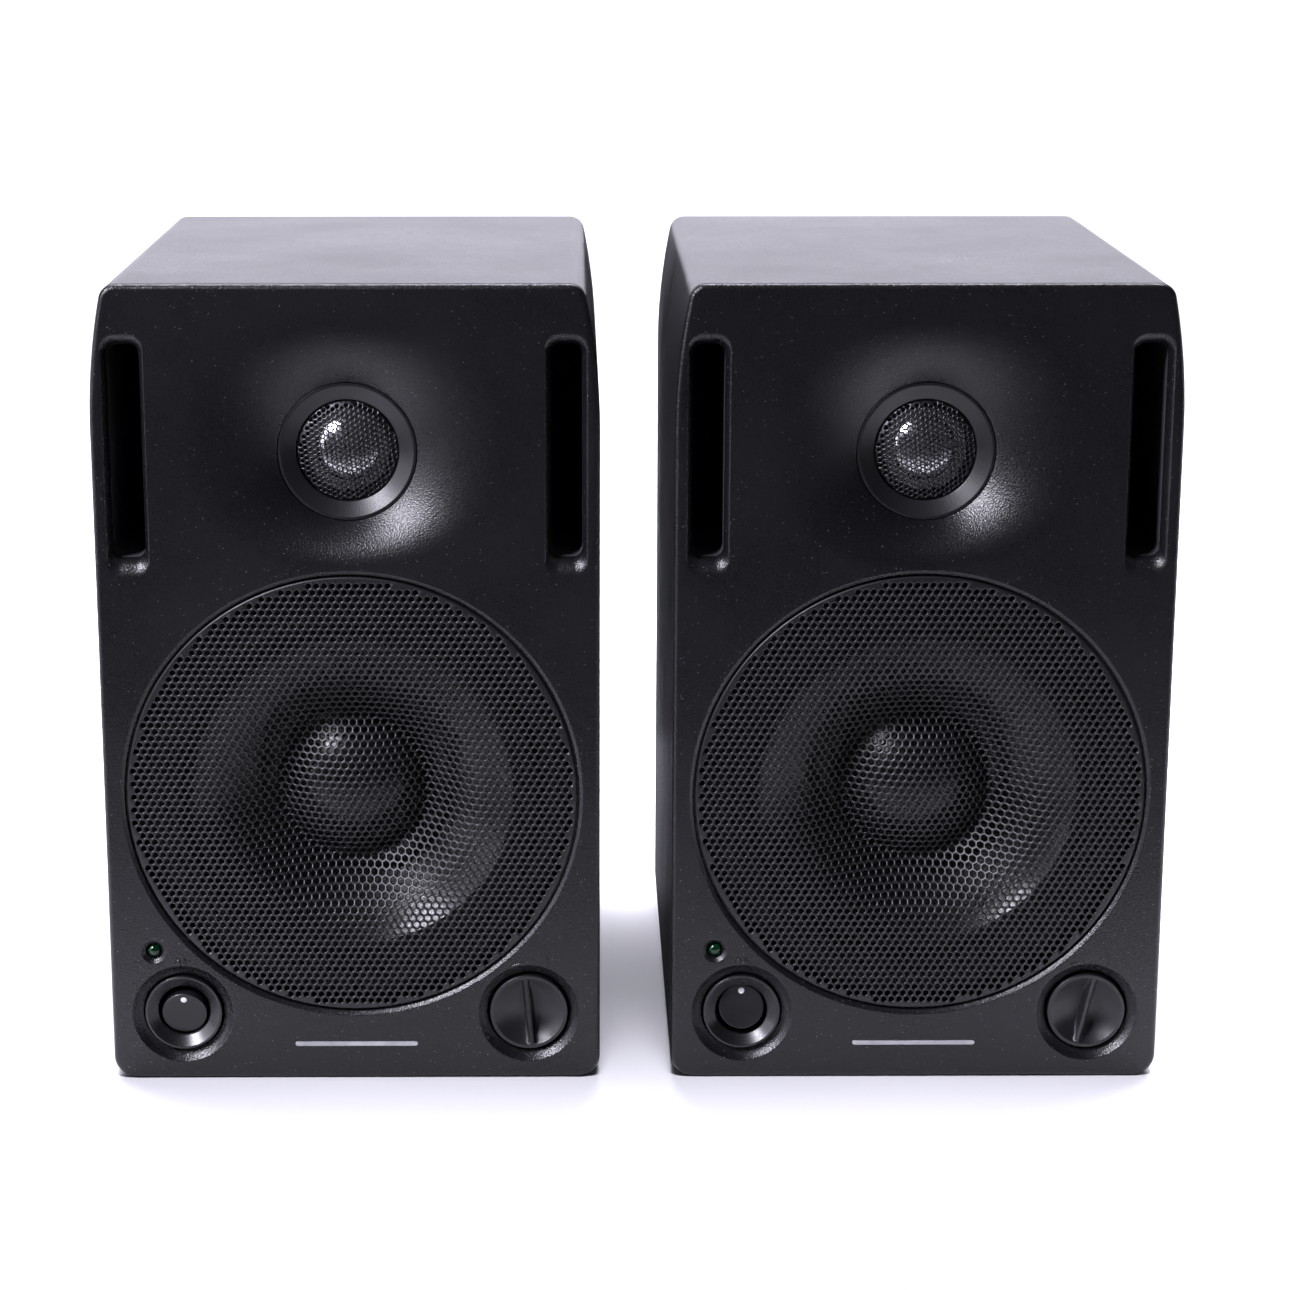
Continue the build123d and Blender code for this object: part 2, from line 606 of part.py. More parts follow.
def make_volume_knob(turn):
    """Dished knob with a finger blade across it, on the control's spindle."""
    rim = 1.3
    dish_rise = 4
    with BuildPart() as piece:
        extrude(disc(CONTROL_X, CONTROL_Z, KNOB_FRONT, KNOB_R), amount=-(KNOB_BACK - KNOB_FRONT))
        with BuildSketch(along(CONTROL_X, CONTROL_Z)):
            with BuildLine():
                floor_depth, floor_radius = arc_middle(KNOB_R - rim, KNOB_FRONT, -dish_rise)
                arc = ThreePointArc((KNOB_FRONT, KNOB_R - rim), (floor_depth, floor_radius),
                                    (KNOB_FRONT + dish_rise, 0))
                Polyline(arc @ 1, (KNOB_FRONT, 0), arc @ 0)
            make_face()
        revolve(axis=line_of(CONTROL_X, CONTROL_Z), mode=Mode.SUBTRACT)
        extrude(slot(CONTROL_X, CONTROL_Z, KNOB_FRONT + 0.2, 1.4, 2 * KNOB_R - 1.5, 0.6),
                amount=-(dish_rise + 1))
        extrude(disc(CONTROL_X, CONTROL_Z, KNOB_BACK, SHAFT_R), amount=-12)
    piece.part = piece.part.rotate(line_of(CONTROL_X, CONTROL_Z), turn)
    return piece


def make_volume_pot():
    """Rotary control behind the baffle, with its bush and three terminals."""
    mouth = 13.2
    width = 17
    with BuildPart() as piece:
        extrude(slot(CONTROL_X, CONTROL_Z, mouth, width, width, 2), amount=-9)
        extrude(disc(CONTROL_X, CONTROL_Z, KNOB_BACK + 0.8, BUSH_R), amount=-5)
        with BuildSketch(facing(CONTROL_X, mouth + 2, CONTROL_Z + width / 2 + 2.5)):
            with GridLocations(5, 1, 3, 1):
                Rectangle(1.4, 6)
        extrude(amount=-0.8)
        extrude(disc(CONTROL_X, CONTROL_Z, KNOB_BACK, SHAFT_R + RUNNING_GAP), amount=-12.5,
                mode=Mode.SUBTRACT)
    return piece


# ---------------------------------------------------------------- rear panel and amplifier
def panel_screw_places():
    """Eight screws around the amplifier panel."""
    margin = 5
    rows = (PANEL_LOW + margin, 70, 121, PANEL_HIGH - margin)
    return [(x, z) for x in (margin - PANEL_WIDTH / 2, PANEL_WIDTH / 2 - margin) for z in rows]


def make_amplifier_panel():
    """Aluminium panel with the sockets' cut-outs, and the finned heat sink that it carries."""
    panel_z = (PANEL_LOW + PANEL_HIGH) / 2
    cut = BACK - 1
    sink_front = PANEL_FACE + SINK_PAD
    with BuildPart() as piece:
        extrude(slot(0, panel_z, BACK, PANEL_WIDTH, PANEL_HIGH - PANEL_LOW, 5.5),
                amount=-PANEL_THICK)
        extrude(slot(INLET_X, INLET_Z, cut, INLET_WIDTH + 0.4, INLET_HEIGHT + 0.4, 2),
                amount=-THROUGH, mode=Mode.SUBTRACT)
        extrude(slot(TONE_X, TONE_Z, cut, TONE_WIDTH + 0.4, TONE_HEIGHT + 0.4, 1),
                amount=-THROUGH, mode=Mode.SUBTRACT)
        extrude(disc(XLR_X, XLR_Z, cut, XLR_R + 0.1), amount=-THROUGH, mode=Mode.SUBTRACT)
        extrude(disc(JACK_X, JACK_Z, cut, JACK_NOSE_R + 0.1), amount=-THROUGH, mode=Mode.SUBTRACT)
        for x, z in panel_screw_places():
            extrude(disc(x, z, cut, SCREW_R + RUNNING_GAP), amount=-THROUGH, mode=Mode.SUBTRACT)
        extrude(slot(0, SINK_Z, sink_front, SINK_WIDTH, SINK_HEIGHT, 2), amount=-SINK_BASE)
        with BuildSketch(facing(0, sink_front + SINK_BASE / 2, SINK_Z)):
            with GridLocations(FIN_PITCH, 1, FIN_COUNT, 1):
                RectangleRounded(FIN_WIDTH, SINK_HEIGHT - 4, 0.9)
        extrude(amount=-(FIN_END - sink_front - SINK_BASE / 2))
    return piece


def make_mains_inlet():
    """Three-pole mains inlet: flange, housing, deep socket and its three blades."""
    floor_depth = 171
    rear = floor_depth - 4
    with BuildPart() as piece:
        extrude(slot(INLET_X, INLET_Z, PANEL_FACE, INLET_WIDTH + 6, INLET_HEIGHT + 6, 3),
                amount=-SOCKET_FLANGE)
        extrude(slot(INLET_X, INLET_Z, rear, INLET_WIDTH, INLET_HEIGHT, 2),
                amount=-(PANEL_FACE - rear))
        extrude(slot(INLET_X, INLET_Z, floor_depth, INLET_WIDTH - 2.6, INLET_HEIGHT - 3.4, 3),
                amount=-THROUGH, mode=Mode.SUBTRACT)
        with BuildSketch(facing(INLET_X, floor_depth, INLET_Z)):
            with Locations((-7, -1.5), (0, 2), (7, -1.5)):
                Rectangle(2, 6)
        extrude(amount=-8)
    return piece


def make_xlr_socket():
    """Three-pole balanced input: square flange, round shell and an insert with three contacts."""
    floor_depth = 176
    rear = floor_depth - 8
    insert_back = floor_depth + RUNNING_GAP
    insert_front = PANEL_FACE + 1.6
    contact_depth = 1.5
    with BuildPart() as piece:
        extrude(slot(XLR_X, XLR_Z, PANEL_FACE, 26, 31, 3), amount=-SOCKET_FLANGE)
        extrude(disc(XLR_X, XLR_Z, rear, XLR_R), amount=-(PANEL_FACE - rear))
        extrude(disc(XLR_X, XLR_Z, floor_depth, 9.6), amount=-THROUGH, mode=Mode.SUBTRACT)
        extrude(disc(XLR_X, XLR_Z, insert_back, 7.6), amount=-(insert_front - insert_back))
        with BuildSketch(facing(XLR_X, insert_front - contact_depth, XLR_Z)):
            with PolarLocations(4.3, 3, start_angle=-30):
                Circle(1.3)
        extrude(amount=-THROUGH, mode=Mode.SUBTRACT)
        for x, z in xlr_screw_places():
            extrude(disc(x, z, PANEL_FACE, SCREW_R), amount=-THROUGH, mode=Mode.SUBTRACT)
    return piece


def xlr_screw_places():
    return [(XLR_X - 9.6, XLR_Z + 12.4), (XLR_X + 9.6, XLR_Z - 12.4)]


def make_jack_socket():
    """6.35 mm jack: threaded nose with a ring nut, and the contact housing behind the panel."""
    housing = 18
    bore_length = 15
    with BuildPart() as piece:
        extrude(slot(JACK_X, JACK_Z, BACK - housing, 15, 15, 1), amount=-housing)
        extrude(disc(JACK_X, JACK_Z, BACK, JACK_NOSE_R), amount=-(PANEL_THICK + 3))
        with BuildSketch(facing(JACK_X, PANEL_FACE, JACK_Z)):
            RegularPolygon(7.4, 6)
        extrude(amount=-2.2)
        extrude(disc(JACK_X, JACK_Z, BACK - bore_length, JACK_R), amount=-30, mode=Mode.SUBTRACT)
    return piece


def make_tone_switch():
    """Body of the two tone switches, with one slot for each slider."""
    housing = 9
    with BuildPart() as piece:
        extrude(slot(TONE_X, TONE_Z, BACK - housing, TONE_WIDTH, TONE_HEIGHT, 0.8),
                amount=-(housing + PANEL_THICK + 0.8))
        for row in TONE_ROWS.values():
            extrude(slot(TONE_X, TONE_Z + row, BACK - 5, TONE_TRAVEL + 4.6, 3.6, 0.4),
                    amount=-THROUGH, mode=Mode.SUBTRACT)
    return piece


def make_tone_slider(row):
    """Slider at the left end of its slot."""
    foot = 4.8
    with BuildPart() as piece:
        extrude(slot(TONE_X - TONE_TRAVEL / 2, TONE_Z + row, BACK - foot, 4, 3, 0.3),
                amount=-(foot + PANEL_THICK + 2.4))
        fillet(piece.faces().sort_by(Axis.Y)[-1].edges(), 0.3)
    return piece


def make_panel_screws():
    """Pan-head screws of the amplifier panel and of the balanced input, with cross recesses."""
    small_head_r = 2.9
    head_height = 1.9
    flange_face = PANEL_FACE + SOCKET_FLANGE
    places = [(x, z, PANEL_FACE, SCREW_HEAD_R, SCREW_R, 10) for x, z in panel_screw_places()]
    places += [(x, z, flange_face, small_head_r, SCREW_R - RUNNING_GAP, SOCKET_FLANGE - 0.1)
               for x, z in xlr_screw_places()]
    with BuildPart() as piece:
        for x, z, seat, head_r, shank_r, length in places:
            with BuildPart(mode=Mode.PRIVATE) as screw:
                extrude(disc(x, z, seat, head_r), amount=-head_height)
                fillet(screw.faces().sort_by(Axis.Y)[-1].edges(), 0.8)
                extrude(disc(x, z, seat - length, shank_r), amount=-length)
                for width, height in ((head_r, 0.8), (0.8, head_r)):
                    extrude(slot(x, z, seat + 1, width, height, 0.2), amount=-2, mode=Mode.SUBTRACT)
            add(screw.part)
    return piece


def make_transformer():
    """Mains transformer on the casing's floor: laminated core, winding and two feet."""
    depth = 128
    blocks = ((WALL, 2, 84, 24), (WALL + 2, 50, 62, 32), (WALL + 12, 30, 38, 52))
    with BuildPart() as piece:
        for base, height, width, length in blocks:
            with BuildSketch(Plane.XY.offset(base)):
                with Locations((0, FRONT + depth)):
                    Rectangle(width, length)
            extrude(amount=height)
    return piece


def make_amplifier_board():
    """Circuit board with capacitors, held against the panel by two stand-offs."""
    board = 164
    board_thick = 1.6
    centre_z = 133
    standoff_x = 42
    capacitors = ((-28, 150, 9, 30), (-6, 150, 9, 30), (20, 118, 6, 18), (34, 118, 6, 18))
    blocks = ((14, 152, 16, 22, 14), (-20, 110, 40, 12, 8))
    with BuildPart() as piece:
        extrude(slot(0, centre_z, board, 98, 82, 2), amount=-board_thick)
        for x in (-standoff_x, standoff_x):
            extrude(disc(x, centre_z, board + board_thick, 3), amount=-(BACK - board - board_thick))
        for x, z, radius, length in capacitors:
            extrude(disc(x, z, board - length, radius), amount=-length)
        for x, z, width, height, length in blocks:
            extrude(slot(x, z, board - length, width, height, 1), amount=-length)
    return piece


# ---------------------------------------------------------------- both speakers
SHARED = {
    "front_baffle": make_front_baffle,
    "rear_casing": make_rear_casing,
    "casing_gasket": make_casing_gasket,
    "port_ducts": make_port_ducts,
    "woofer_grille": make_woofer_grille,
    "woofer_frame": make_woofer_frame,
    "woofer_magnet": make_woofer_magnet,
    "woofer_cone": make_woofer_cone,
    "dust_cap": make_dust_cap,
    "woofer_surround": make_woofer_surround,
    "woofer_spider": make_woofer_spider,
    "tweeter_ring": make_tweeter_ring,
    "tweeter_mesh": make_tweeter_mesh,
    "tweeter_dome": make_tweeter_dome,
    "tweeter_magnet": make_tweeter_magnet,
    "power_lamp": make_power_lamp,
    "switch_body": make_switch_body,
    "volume_pot": make_volume_pot,
    "amplifier_panel": make_amplifier_panel,
    "mains_inlet": make_mains_inlet,
    "xlr_socket": make_xlr_socket,
    "jack_socket": make_jack_socket,
    "tone_switch": make_tone_switch,
    "panel_screws": make_panel_screws,
    "transformer": make_transformer,
    "amplifier_board": make_amplifier_board,
}


def write(part, name, centre_x):
    placed = part.moved(Location((centre_x, 0, 0)))
    placed.label = name
    export_step(placed, f"parts/{name}.step")


os.makedirs("parts", exist_ok=True)
sides = {"left": -SPACING / 2, "right": SPACING / 2}
tilts = {"left": ROCKER_TILT, "right": -ROCKER_TILT}

for node, make in SHARED.items():
    piece = make()
    for side, centre_x in sides.items():
        write(piece.part, f"{side}_{node}", centre_x)
for node, row in TONE_ROWS.items():
    piece = make_tone_slider(row)
    for side, centre_x in sides.items():
        write(piece.part, f"{side}_{node}", centre_x)
for side, centre_x in sides.items():
    write(make_switch_rocker(tilts[side]).part, f"{side}_switch_rocker", centre_x)
    write(make_volume_knob(KNOB_TURN[side]).part, f"{side}_volume_knob", centre_x)
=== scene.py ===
import json
import math

import bmesh
import bpy
import numpy as np
from mathutils import Matrix, Vector
from mathutils.geometry import delaunay_2d_cdt

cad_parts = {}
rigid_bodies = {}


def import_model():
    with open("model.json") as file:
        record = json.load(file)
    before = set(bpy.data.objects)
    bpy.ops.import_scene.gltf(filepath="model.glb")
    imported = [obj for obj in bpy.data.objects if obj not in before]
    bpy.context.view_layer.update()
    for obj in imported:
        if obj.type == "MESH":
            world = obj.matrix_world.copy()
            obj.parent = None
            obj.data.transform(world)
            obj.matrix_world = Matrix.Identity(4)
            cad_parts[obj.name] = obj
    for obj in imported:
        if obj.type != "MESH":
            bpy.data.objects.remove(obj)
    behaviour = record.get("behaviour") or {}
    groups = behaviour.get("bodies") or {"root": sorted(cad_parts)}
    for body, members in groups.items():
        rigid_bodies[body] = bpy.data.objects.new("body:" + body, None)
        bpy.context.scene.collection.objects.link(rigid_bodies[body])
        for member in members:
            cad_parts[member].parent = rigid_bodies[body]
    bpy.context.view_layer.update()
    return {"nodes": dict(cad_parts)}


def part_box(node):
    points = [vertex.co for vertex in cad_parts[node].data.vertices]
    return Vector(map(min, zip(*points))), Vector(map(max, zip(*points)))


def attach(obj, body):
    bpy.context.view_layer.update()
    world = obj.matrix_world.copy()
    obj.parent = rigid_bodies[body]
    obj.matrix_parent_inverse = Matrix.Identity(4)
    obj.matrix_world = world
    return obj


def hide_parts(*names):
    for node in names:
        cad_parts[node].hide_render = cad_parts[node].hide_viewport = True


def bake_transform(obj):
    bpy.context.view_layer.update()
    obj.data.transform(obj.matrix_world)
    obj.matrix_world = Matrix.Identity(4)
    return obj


# A pair of compact active speakers. Shapes are made in each speaker's own millimetres:
# x to the listener's right from its centre, depth behind the baffle's face, z up.

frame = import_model()

MM = 0.001
SIDES = ("left", "right")


def place(node):
    """Centre and half size of a CAD node, in millimetres."""
    low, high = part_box(node)
    return (low + high) / 2 / MM, (high - low) / 2 / MM


CABINET, CABINET_HALF = place("left_front_baffle")
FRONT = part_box("left_front_baffle")[0].y / MM
CENTRE_X = {side: place(f"{side}_front_baffle")[0].x for side in SIDES}


def local(node):
    """Where the left speaker's node sits across and up its baffle, and its half width."""
    centre, half = place(f"left_{node}")
    return centre.x - CENTRE_X["left"], centre.z, half.x


HALF = CABINET_HALF.x
HEIGHT = 2 * CABINET_HALF.z
FACE = 0.2                       # the visible face lies this far behind the CAD box
RIM = 2.4
PLATE = 5
FOOT_CORNER = 7
TOP_CORNER = 5
LEAN_FROM = 203
LEAN_RADIUS = 200

WOOFER_X, WOOFER_Z, GRILLE_R = local("woofer_grille")
RECESS_R = GRILLE_R + 0.5
TWEETER_X, TWEETER_Z, RING_R = local("tweeter_ring")
DISH_Z = TWEETER_Z + 3.2
DISH_HALF = (47.5, 37)
DISH_DEPTH = 8.5
PORT_X, PORT_HEIGHT, PORT_WIDTH = 65.4, 64, 9.6
PORT_Z = place("left_port_ducts")[0].z
SWITCH_X, CONTROL_Z, BEZEL_R = local("switch_body")
KNOB_X, _, KNOB_R = local("volume_knob")
LAMP_X, LAMP_Z, LAMP_R = local("power_lamp")
KNOB_TURN = {"left": -5.4, "right": 12.3}
ROCKER_TILT = {"left": 13, "right": -13}


# ---------------------------------------------------------------- loops in the front view
def arc(x, z, radius, start, end, count):
    turn = np.radians(np.linspace(start, end, count))
    return np.column_stack([x + radius * np.cos(turn), z + radius * np.sin(turn)])


def run(start, end, step=5.0):
    """Points along a straight stretch, its ends left out."""
    count = max(2, int(math.dist(start, end) / step) + 1)
    share = np.linspace(0, 1, count)[1:-1, None]
    return np.array(start) + share * (np.array(end) - np.array(start))


def circle(radius, x=0.0, z=0.0, count=96):
    return arc(x, z, radius, 0, 360, count + 1)[:-1]


def rounded_slot(x, z, width, height, corner, count=9):
    """Rectangle with round corners, anticlockwise."""
    corners = []
    for quarter, (across, up) in enumerate(((1, 1), (-1, 1), (-1, -1), (1, -1))):
        corners.append(arc(x + across * (width / 2 - corner), z + up * (height / 2 - corner),
                           corner, 90 * quarter, 90 * quarter + 90, count))
    return np.concatenate(corners)


def cabinet_outline():
    """Upright sides that lean in towards a flat top, anticlockwise from the foot."""
    lean_x = HALF - LEAN_RADIUS
    corner_z = HEIGHT - TOP_CORNER
    corner_x = lean_x + math.sqrt((LEAN_RADIUS - TOP_CORNER)**2 - (corner_z - LEAN_FROM)**2)
    lean = math.degrees(math.atan2(corner_z - LEAN_FROM, corner_x - lean_x))
    right = np.concatenate([
        arc(HALF - FOOT_CORNER, FOOT_CORNER, FOOT_CORNER, -90, 0, 12),
        run((HALF, FOOT_CORNER), (HALF, LEAN_FROM)),
        arc(lean_x, LEAN_FROM, LEAN_RADIUS, 0, lean, 14),
        arc(corner_x, corner_z, TOP_CORNER, lean, 90, 11)[1:],
    ])
    left = right[::-1] * (-1, 1)
    return np.concatenate([right, run(right[-1], left[0]), left, run(left[-1], right[0])])


def inset(loop, amount):
    """The loop moved inwards, or outwards where amount is negative. It runs anticlockwise."""
    edge = np.roll(loop, -1, axis=0) - loop
    edge /= np.linalg.norm(edge, axis=1)[:, None]
    inward = np.column_stack([-edge[:, 1], edge[:, 0]])
    before = np.roll(inward, 1, axis=0)
    return loop + amount * (inward + before) / (1 + (inward * before).sum(1))[:, None]


def at_depth(loop, depth):
    """Points (x, depth, z) from a loop of (x, z)."""
    return np.column_stack([loop[:, 0], np.broadcast_to(depth, len(loop)), loop[:, 1]])


def inside(points, loop):
    x, z = points[:, 0][:, None], points[:, 1][:, None]
    (x0, z0), (x1, z1) = loop.T, np.roll(loop, -1, axis=0).T
    crosses = (z0 > z) != (z1 > z)
    slope = (x1 - x0) / np.where(z1 == z0, 1.0, z1 - z0)
    return (crosses & (x < slope * (z - z0) + x0)).sum(1) % 2 == 1


def close_to(points, loop, reach):
    """Which points lie within reach of the loop's line."""
    found = np.zeros(len(points), bool)
    for start, end in zip(loop, np.roll(loop, -1, axis=0)):
        along = end - start
        share = np.clip((points - start) @ along / max(along @ along, 1e-12), 0, 1)
        found |= np.linalg.norm(points - start - share[:, None] * along, axis=1) < reach
    return found


def lattice(low, high, pitch):
    """Points of a regular triangular lattice with level rows."""
    rise = pitch * math.sqrt(3) / 2
    rows = np.arange(math.floor(low[1] / rise), math.ceil(high[1] / rise) + 1)
    columns = np.arange(math.floor(low[0] / pitch) - 1, math.ceil(high[0] / pitch) + 1)
    column, row = np.meshgrid(columns, rows)
    return np.column_stack([((column + (row % 2) / 2) * pitch).ravel(), (row * rise).ravel()])


# ---------------------------------------------------------------- solids in the speaker's frame
class Shape:
    """Points (x, depth, z) and faces, gathered part by part and welded at the end."""

    def __init__(self):
        self.points = []
        self.faces = []
        self.count = 0

    def add(self, points, faces):
        self.points.append(np.asarray(points, float))
        self.faces += [tuple(int(i) + self.count for i in face) for face in faces]
        self.count += len(points)
        return self

    def loft(self, loops, cap=False):
        """A skin of quads through closed loops with equally many points."""
        size = len(loops[0])
        faces = [(k * size + i, k * size + (i + 1) % size, (k + 1) * size + (i + 1) % size,
                  (k + 1) * size + i) for k in range(len(loops) - 1) for i in range(size)]
        if cap:
            faces += [tuple(range(size)), tuple(range((len(loops) - 1) * size, len(loops) * size))]
        return self.add(np.concatenate(loops), faces)

    def turned(self, profile, x, z, count=96):
        """A solid of revolution from a closed profile of (depth, radius) points."""
        closed = [*profile, profile[0]]
        return self.loft([at_depth(circle(max(radius, 0.0), x, z, count), depth)
                          for depth, radius in closed])

    def moved(self, matrix):
        """The same shape after a 4x4 matrix, taken in (x, depth, z)."""
        spin, shift = np.array(matrix.to_3x3()), np.array(matrix.translation)
        self.points = [points @ spin.T + shift for points in self.points]
        return self

    def welded(self):
        points = np.concatenate(self.points)
        keys, first, where = np.unique(np.floor(points * 2000 + 0.37), axis=0, return_index=True,
                                       return_inverse=True)
        where = where.ravel()
        faces = []
        for face in self.faces:
            merged = [int(where[i]) for i in face]
            kept = [v for k, v in enumerate(merged) if v != merged[k - 1]]
            if len(set(kept)) >= 3:
                faces.append(kept)
        return points[first], faces


def filled(loops, holes, depth, spacing=None, fine=None):
    """Triangles between an outer loop, which comes first, and holes. Other loops are creases.

    Each loop is (points, depths), and depth(x, z) gives what lies between them. Fine is a test
    of points and the spacing where it holds.
    """
    rims = [loop for loop, _ in loops]
    points = np.concatenate(rims)
    depths = [np.broadcast_to(given, len(loop)) for loop, given in loops]
    start = 0
    edges = []
    for loop in rims:
        size = len(loop)
        edges += [(start + i, start + (i + 1) % size) for i in range(size)]
        start += size
    for pitch, wanted in ((spacing, False), (fine[1] if fine else None, True)):
        if not pitch:
            continue
        grid = lattice(rims[0].min(0), rims[0].max(0), pitch)
        if fine:
            grid = grid[fine[0](grid) == wanted]
        grid = grid[inside(grid, rims[0])]
        for loop in rims:
            grid = grid[~close_to(grid, loop, 0.55 * pitch)]
        for hole in holes:
            grid = grid[~inside(grid, hole)]
        points = np.concatenate([points, grid])
        depths.append(depth(grid[:, 0], grid[:, 1]))
    depths = np.concatenate(depths)
    made = delaunay_2d_cdt([Vector(p) for p in points], edges, [], 0, 1e-7)
    flat = np.array([tuple(v) for v in made[0]])
    origin = [source[0] if source else -1 for source in made[3]]
    height = np.array([depths[o] if o >= 0 else depth(*flat[i]) for i, o in enumerate(origin)])
    triangles = np.array(made[2])
    middle = flat[triangles].mean(1)
    keep = inside(middle, rims[0])
    for hole in holes:
        keep &= ~inside(middle, hole)
    return np.column_stack([flat[:, 0], height, flat[:, 1]]), triangles[keep]


def rounded_profile(corners, steps=5):
    """Closed (depth, radius) profile whose corners (depth, radius, round) are rounded."""
    made = []
    for k, (depth, radius, round_) in enumerate(corners):
        here = Vector((depth, radius))
        if not round_:
            made.append(tuple(here))
            continue
        before = (Vector(corners[k - 1][:2]) - here).normalized()
        after = (Vector(corners[(k + 1) % len(corners)][:2]) - here).normalized()
        half = before.angle(after) / 2
        reach = round_ / math.tan(half)
        centre = here + (before + after).normalized() * round_ / math.sin(half)
        first, last = here + before * reach - centre, here + after * reach - centre
        for step in range(steps + 1):
            turn = first.slerp(last, step / steps).normalized()
            made.append(tuple(centre + turn * round_))
    return made


# ---------------------------------------------------------------- node helpers for materials
class Shader:
    """A small node tree around one Principled shader, in the object's own metres."""

    def __init__(self, name, colour, roughness, **inputs):
        self.material = bpy.data.materials.new(name)
        self.material.use_nodes = True
        self.nodes = self.material.node_tree.nodes
        self.links = self.material.node_tree.links
        self.shader = self.nodes["Principled BSDF"]
        self.coordinates = self.nodes.new("ShaderNodeTexCoord").outputs["Object"]
        self.set("Base Color", (*colour, 1))
        self.set("Roughness", roughness)
        for key, value in inputs.items():
            self.set(key.replace("_", " "), value)
        self.bumps = None

    def set(self, socket, value):
        self.shader.inputs[socket].default_value = value

    def link(self, socket, source):
        self.links.new(source, self.shader.inputs[socket])

    def node(self, kind, **settings):
        made = self.nodes.new(kind)
        for key, value in settings.items():
            setattr(made, key, value)
        return made

    def stretched(self, scale):
        mapping = self.node("ShaderNodeMapping")
        mapping.inputs["Scale"].default_value = scale
        self.links.new(self.coordinates, mapping.inputs["Vector"])
        return mapping.outputs["Vector"]

    def noise(self, scale, detail=3.0, roughness=0.5, vector=None):
        made = self.node("ShaderNodeTexNoise")
        made.inputs["Scale"].default_value = scale
        made.inputs["Detail"].default_value = detail
        made.inputs["Roughness"].default_value = roughness
        self.links.new(vector or self.coordinates, made.inputs["Vector"])
        return made.outputs["Fac"]

    def cells(self, scale, output="Distance", vector=None):
        made = self.node("ShaderNodeTexVoronoi")
        made.inputs["Scale"].default_value = scale
        self.links.new(vector or self.coordinates, made.inputs["Vector"])
        return made.outputs[output]

    def ramp(self, source, low, high, at_low=0.0, at_high=1.0):
        """The source mapped from low..high to at_low..at_high, held at both ends."""
        made = self.node("ShaderNodeMapRange")
        for key, value in zip(("From Min", "From Max", "To Min", "To Max"),
                              (low, high, at_low, at_high)):
            made.inputs[key].default_value = value
        self.links.new(source, made.inputs["Value"])
        return made.outputs["Result"]

    def math(self, operation, first, second):
        made = self.node("ShaderNodeMath", operation=operation)
        for socket, value in zip(made.inputs, (first, second)):
            if isinstance(value, (int, float)):
                socket.default_value = value
            else:
                self.links.new(value, socket)
        return made.outputs["Value"]

    def mix(self, factor, first, second):
        """A colour between two, each a source or an (r, g, b)."""
        made = self.node("ShaderNodeMix", data_type="RGBA")
        self.links.new(factor, made.inputs["Factor"])
        for socket, value in ((made.inputs["A"], first), (made.inputs["B"], second)):
            if isinstance(value, tuple):
                socket.default_value = (*value, 1)
            else:
                self.links.new(value, socket)
        return made.outputs["Result"]

    def bump(self, height, distance, strength=1.0):
        made = self.node("ShaderNodeBump")
        made.inputs["Strength"].default_value = strength
        made.inputs["Distance"].default_value = distance
        self.links.new(height, made.inputs["Height"])
        if self.bumps:
            self.links.new(self.bumps, made.inputs["Normal"])
        self.bumps = made.outputs["Normal"]
        self.link("Normal", self.bumps)
        return self

    def edges_rounded(self, radius):
        """Softens the light on hard edges, as a moulding's small radii do."""
        made = self.node("ShaderNodeBevel", samples=4)
        made.inputs["Radius"].default_value = radius
        if self.bumps:
            raise ValueError("the bevel comes before the bumps")
        self.bumps = made.outputs["Normal"]
        self.link("Normal", self.bumps)
        return self


def specks(shader, scale, size, share):
    """Dust: small spots, one in a few cells."""
    near = shader.ramp(shader.cells(scale), size * 0.6, size, 1.0, 0.0)
    colour = shader.node("ShaderNodeSeparateColor")
    shader.links.new(shader.cells(scale, "Color"), colour.inputs["Color"])
    chosen = shader.ramp(colour.outputs["Red"], 1 - share, 1 - share + 0.01)
    return shader.math("MULTIPLY", near, chosen)


def cabinet_paint():
    """Charcoal paint with a fine sandy texture, dust and a few rubbed marks."""
    made = Shader("cabinet_paint", (0.005, 0.0048, 0.006), 0.3, Specular_IOR_Level=0.45)
    grain = made.noise(2100, 2.0, 0.6)
    cloud = made.noise(22, 4.0)
    dust = made.math("MAXIMUM", specks(made, 420, 0.075, 0.3), specks(made, 900, 0.13, 0.2))
    rubbed = made.ramp(made.noise(60, 5.0, 0.6, made.stretched((1, 1, 0.12))), 0.68, 0.78, 0, 0.4)
    base = made.mix(made.ramp(cloud, 0.35, 0.7), (0.0042, 0.004, 0.0052), (0.006, 0.0057, 0.0072))
    base = made.mix(rubbed, base, (0.009, 0.0088, 0.0105))
    made.link("Base Color", made.mix(dust, base, (0.2, 0.2, 0.22)))
    made.link("Roughness", made.math("ADD", made.ramp(grain, 0.3, 0.7, 0.24, 0.36),
                                     made.ramp(cloud, 0.3, 0.75, -0.02, 0.04)))
    made.bump(made.cells(1900), 0.00007)
    made.bump(grain, 0.00006)
    return made.material


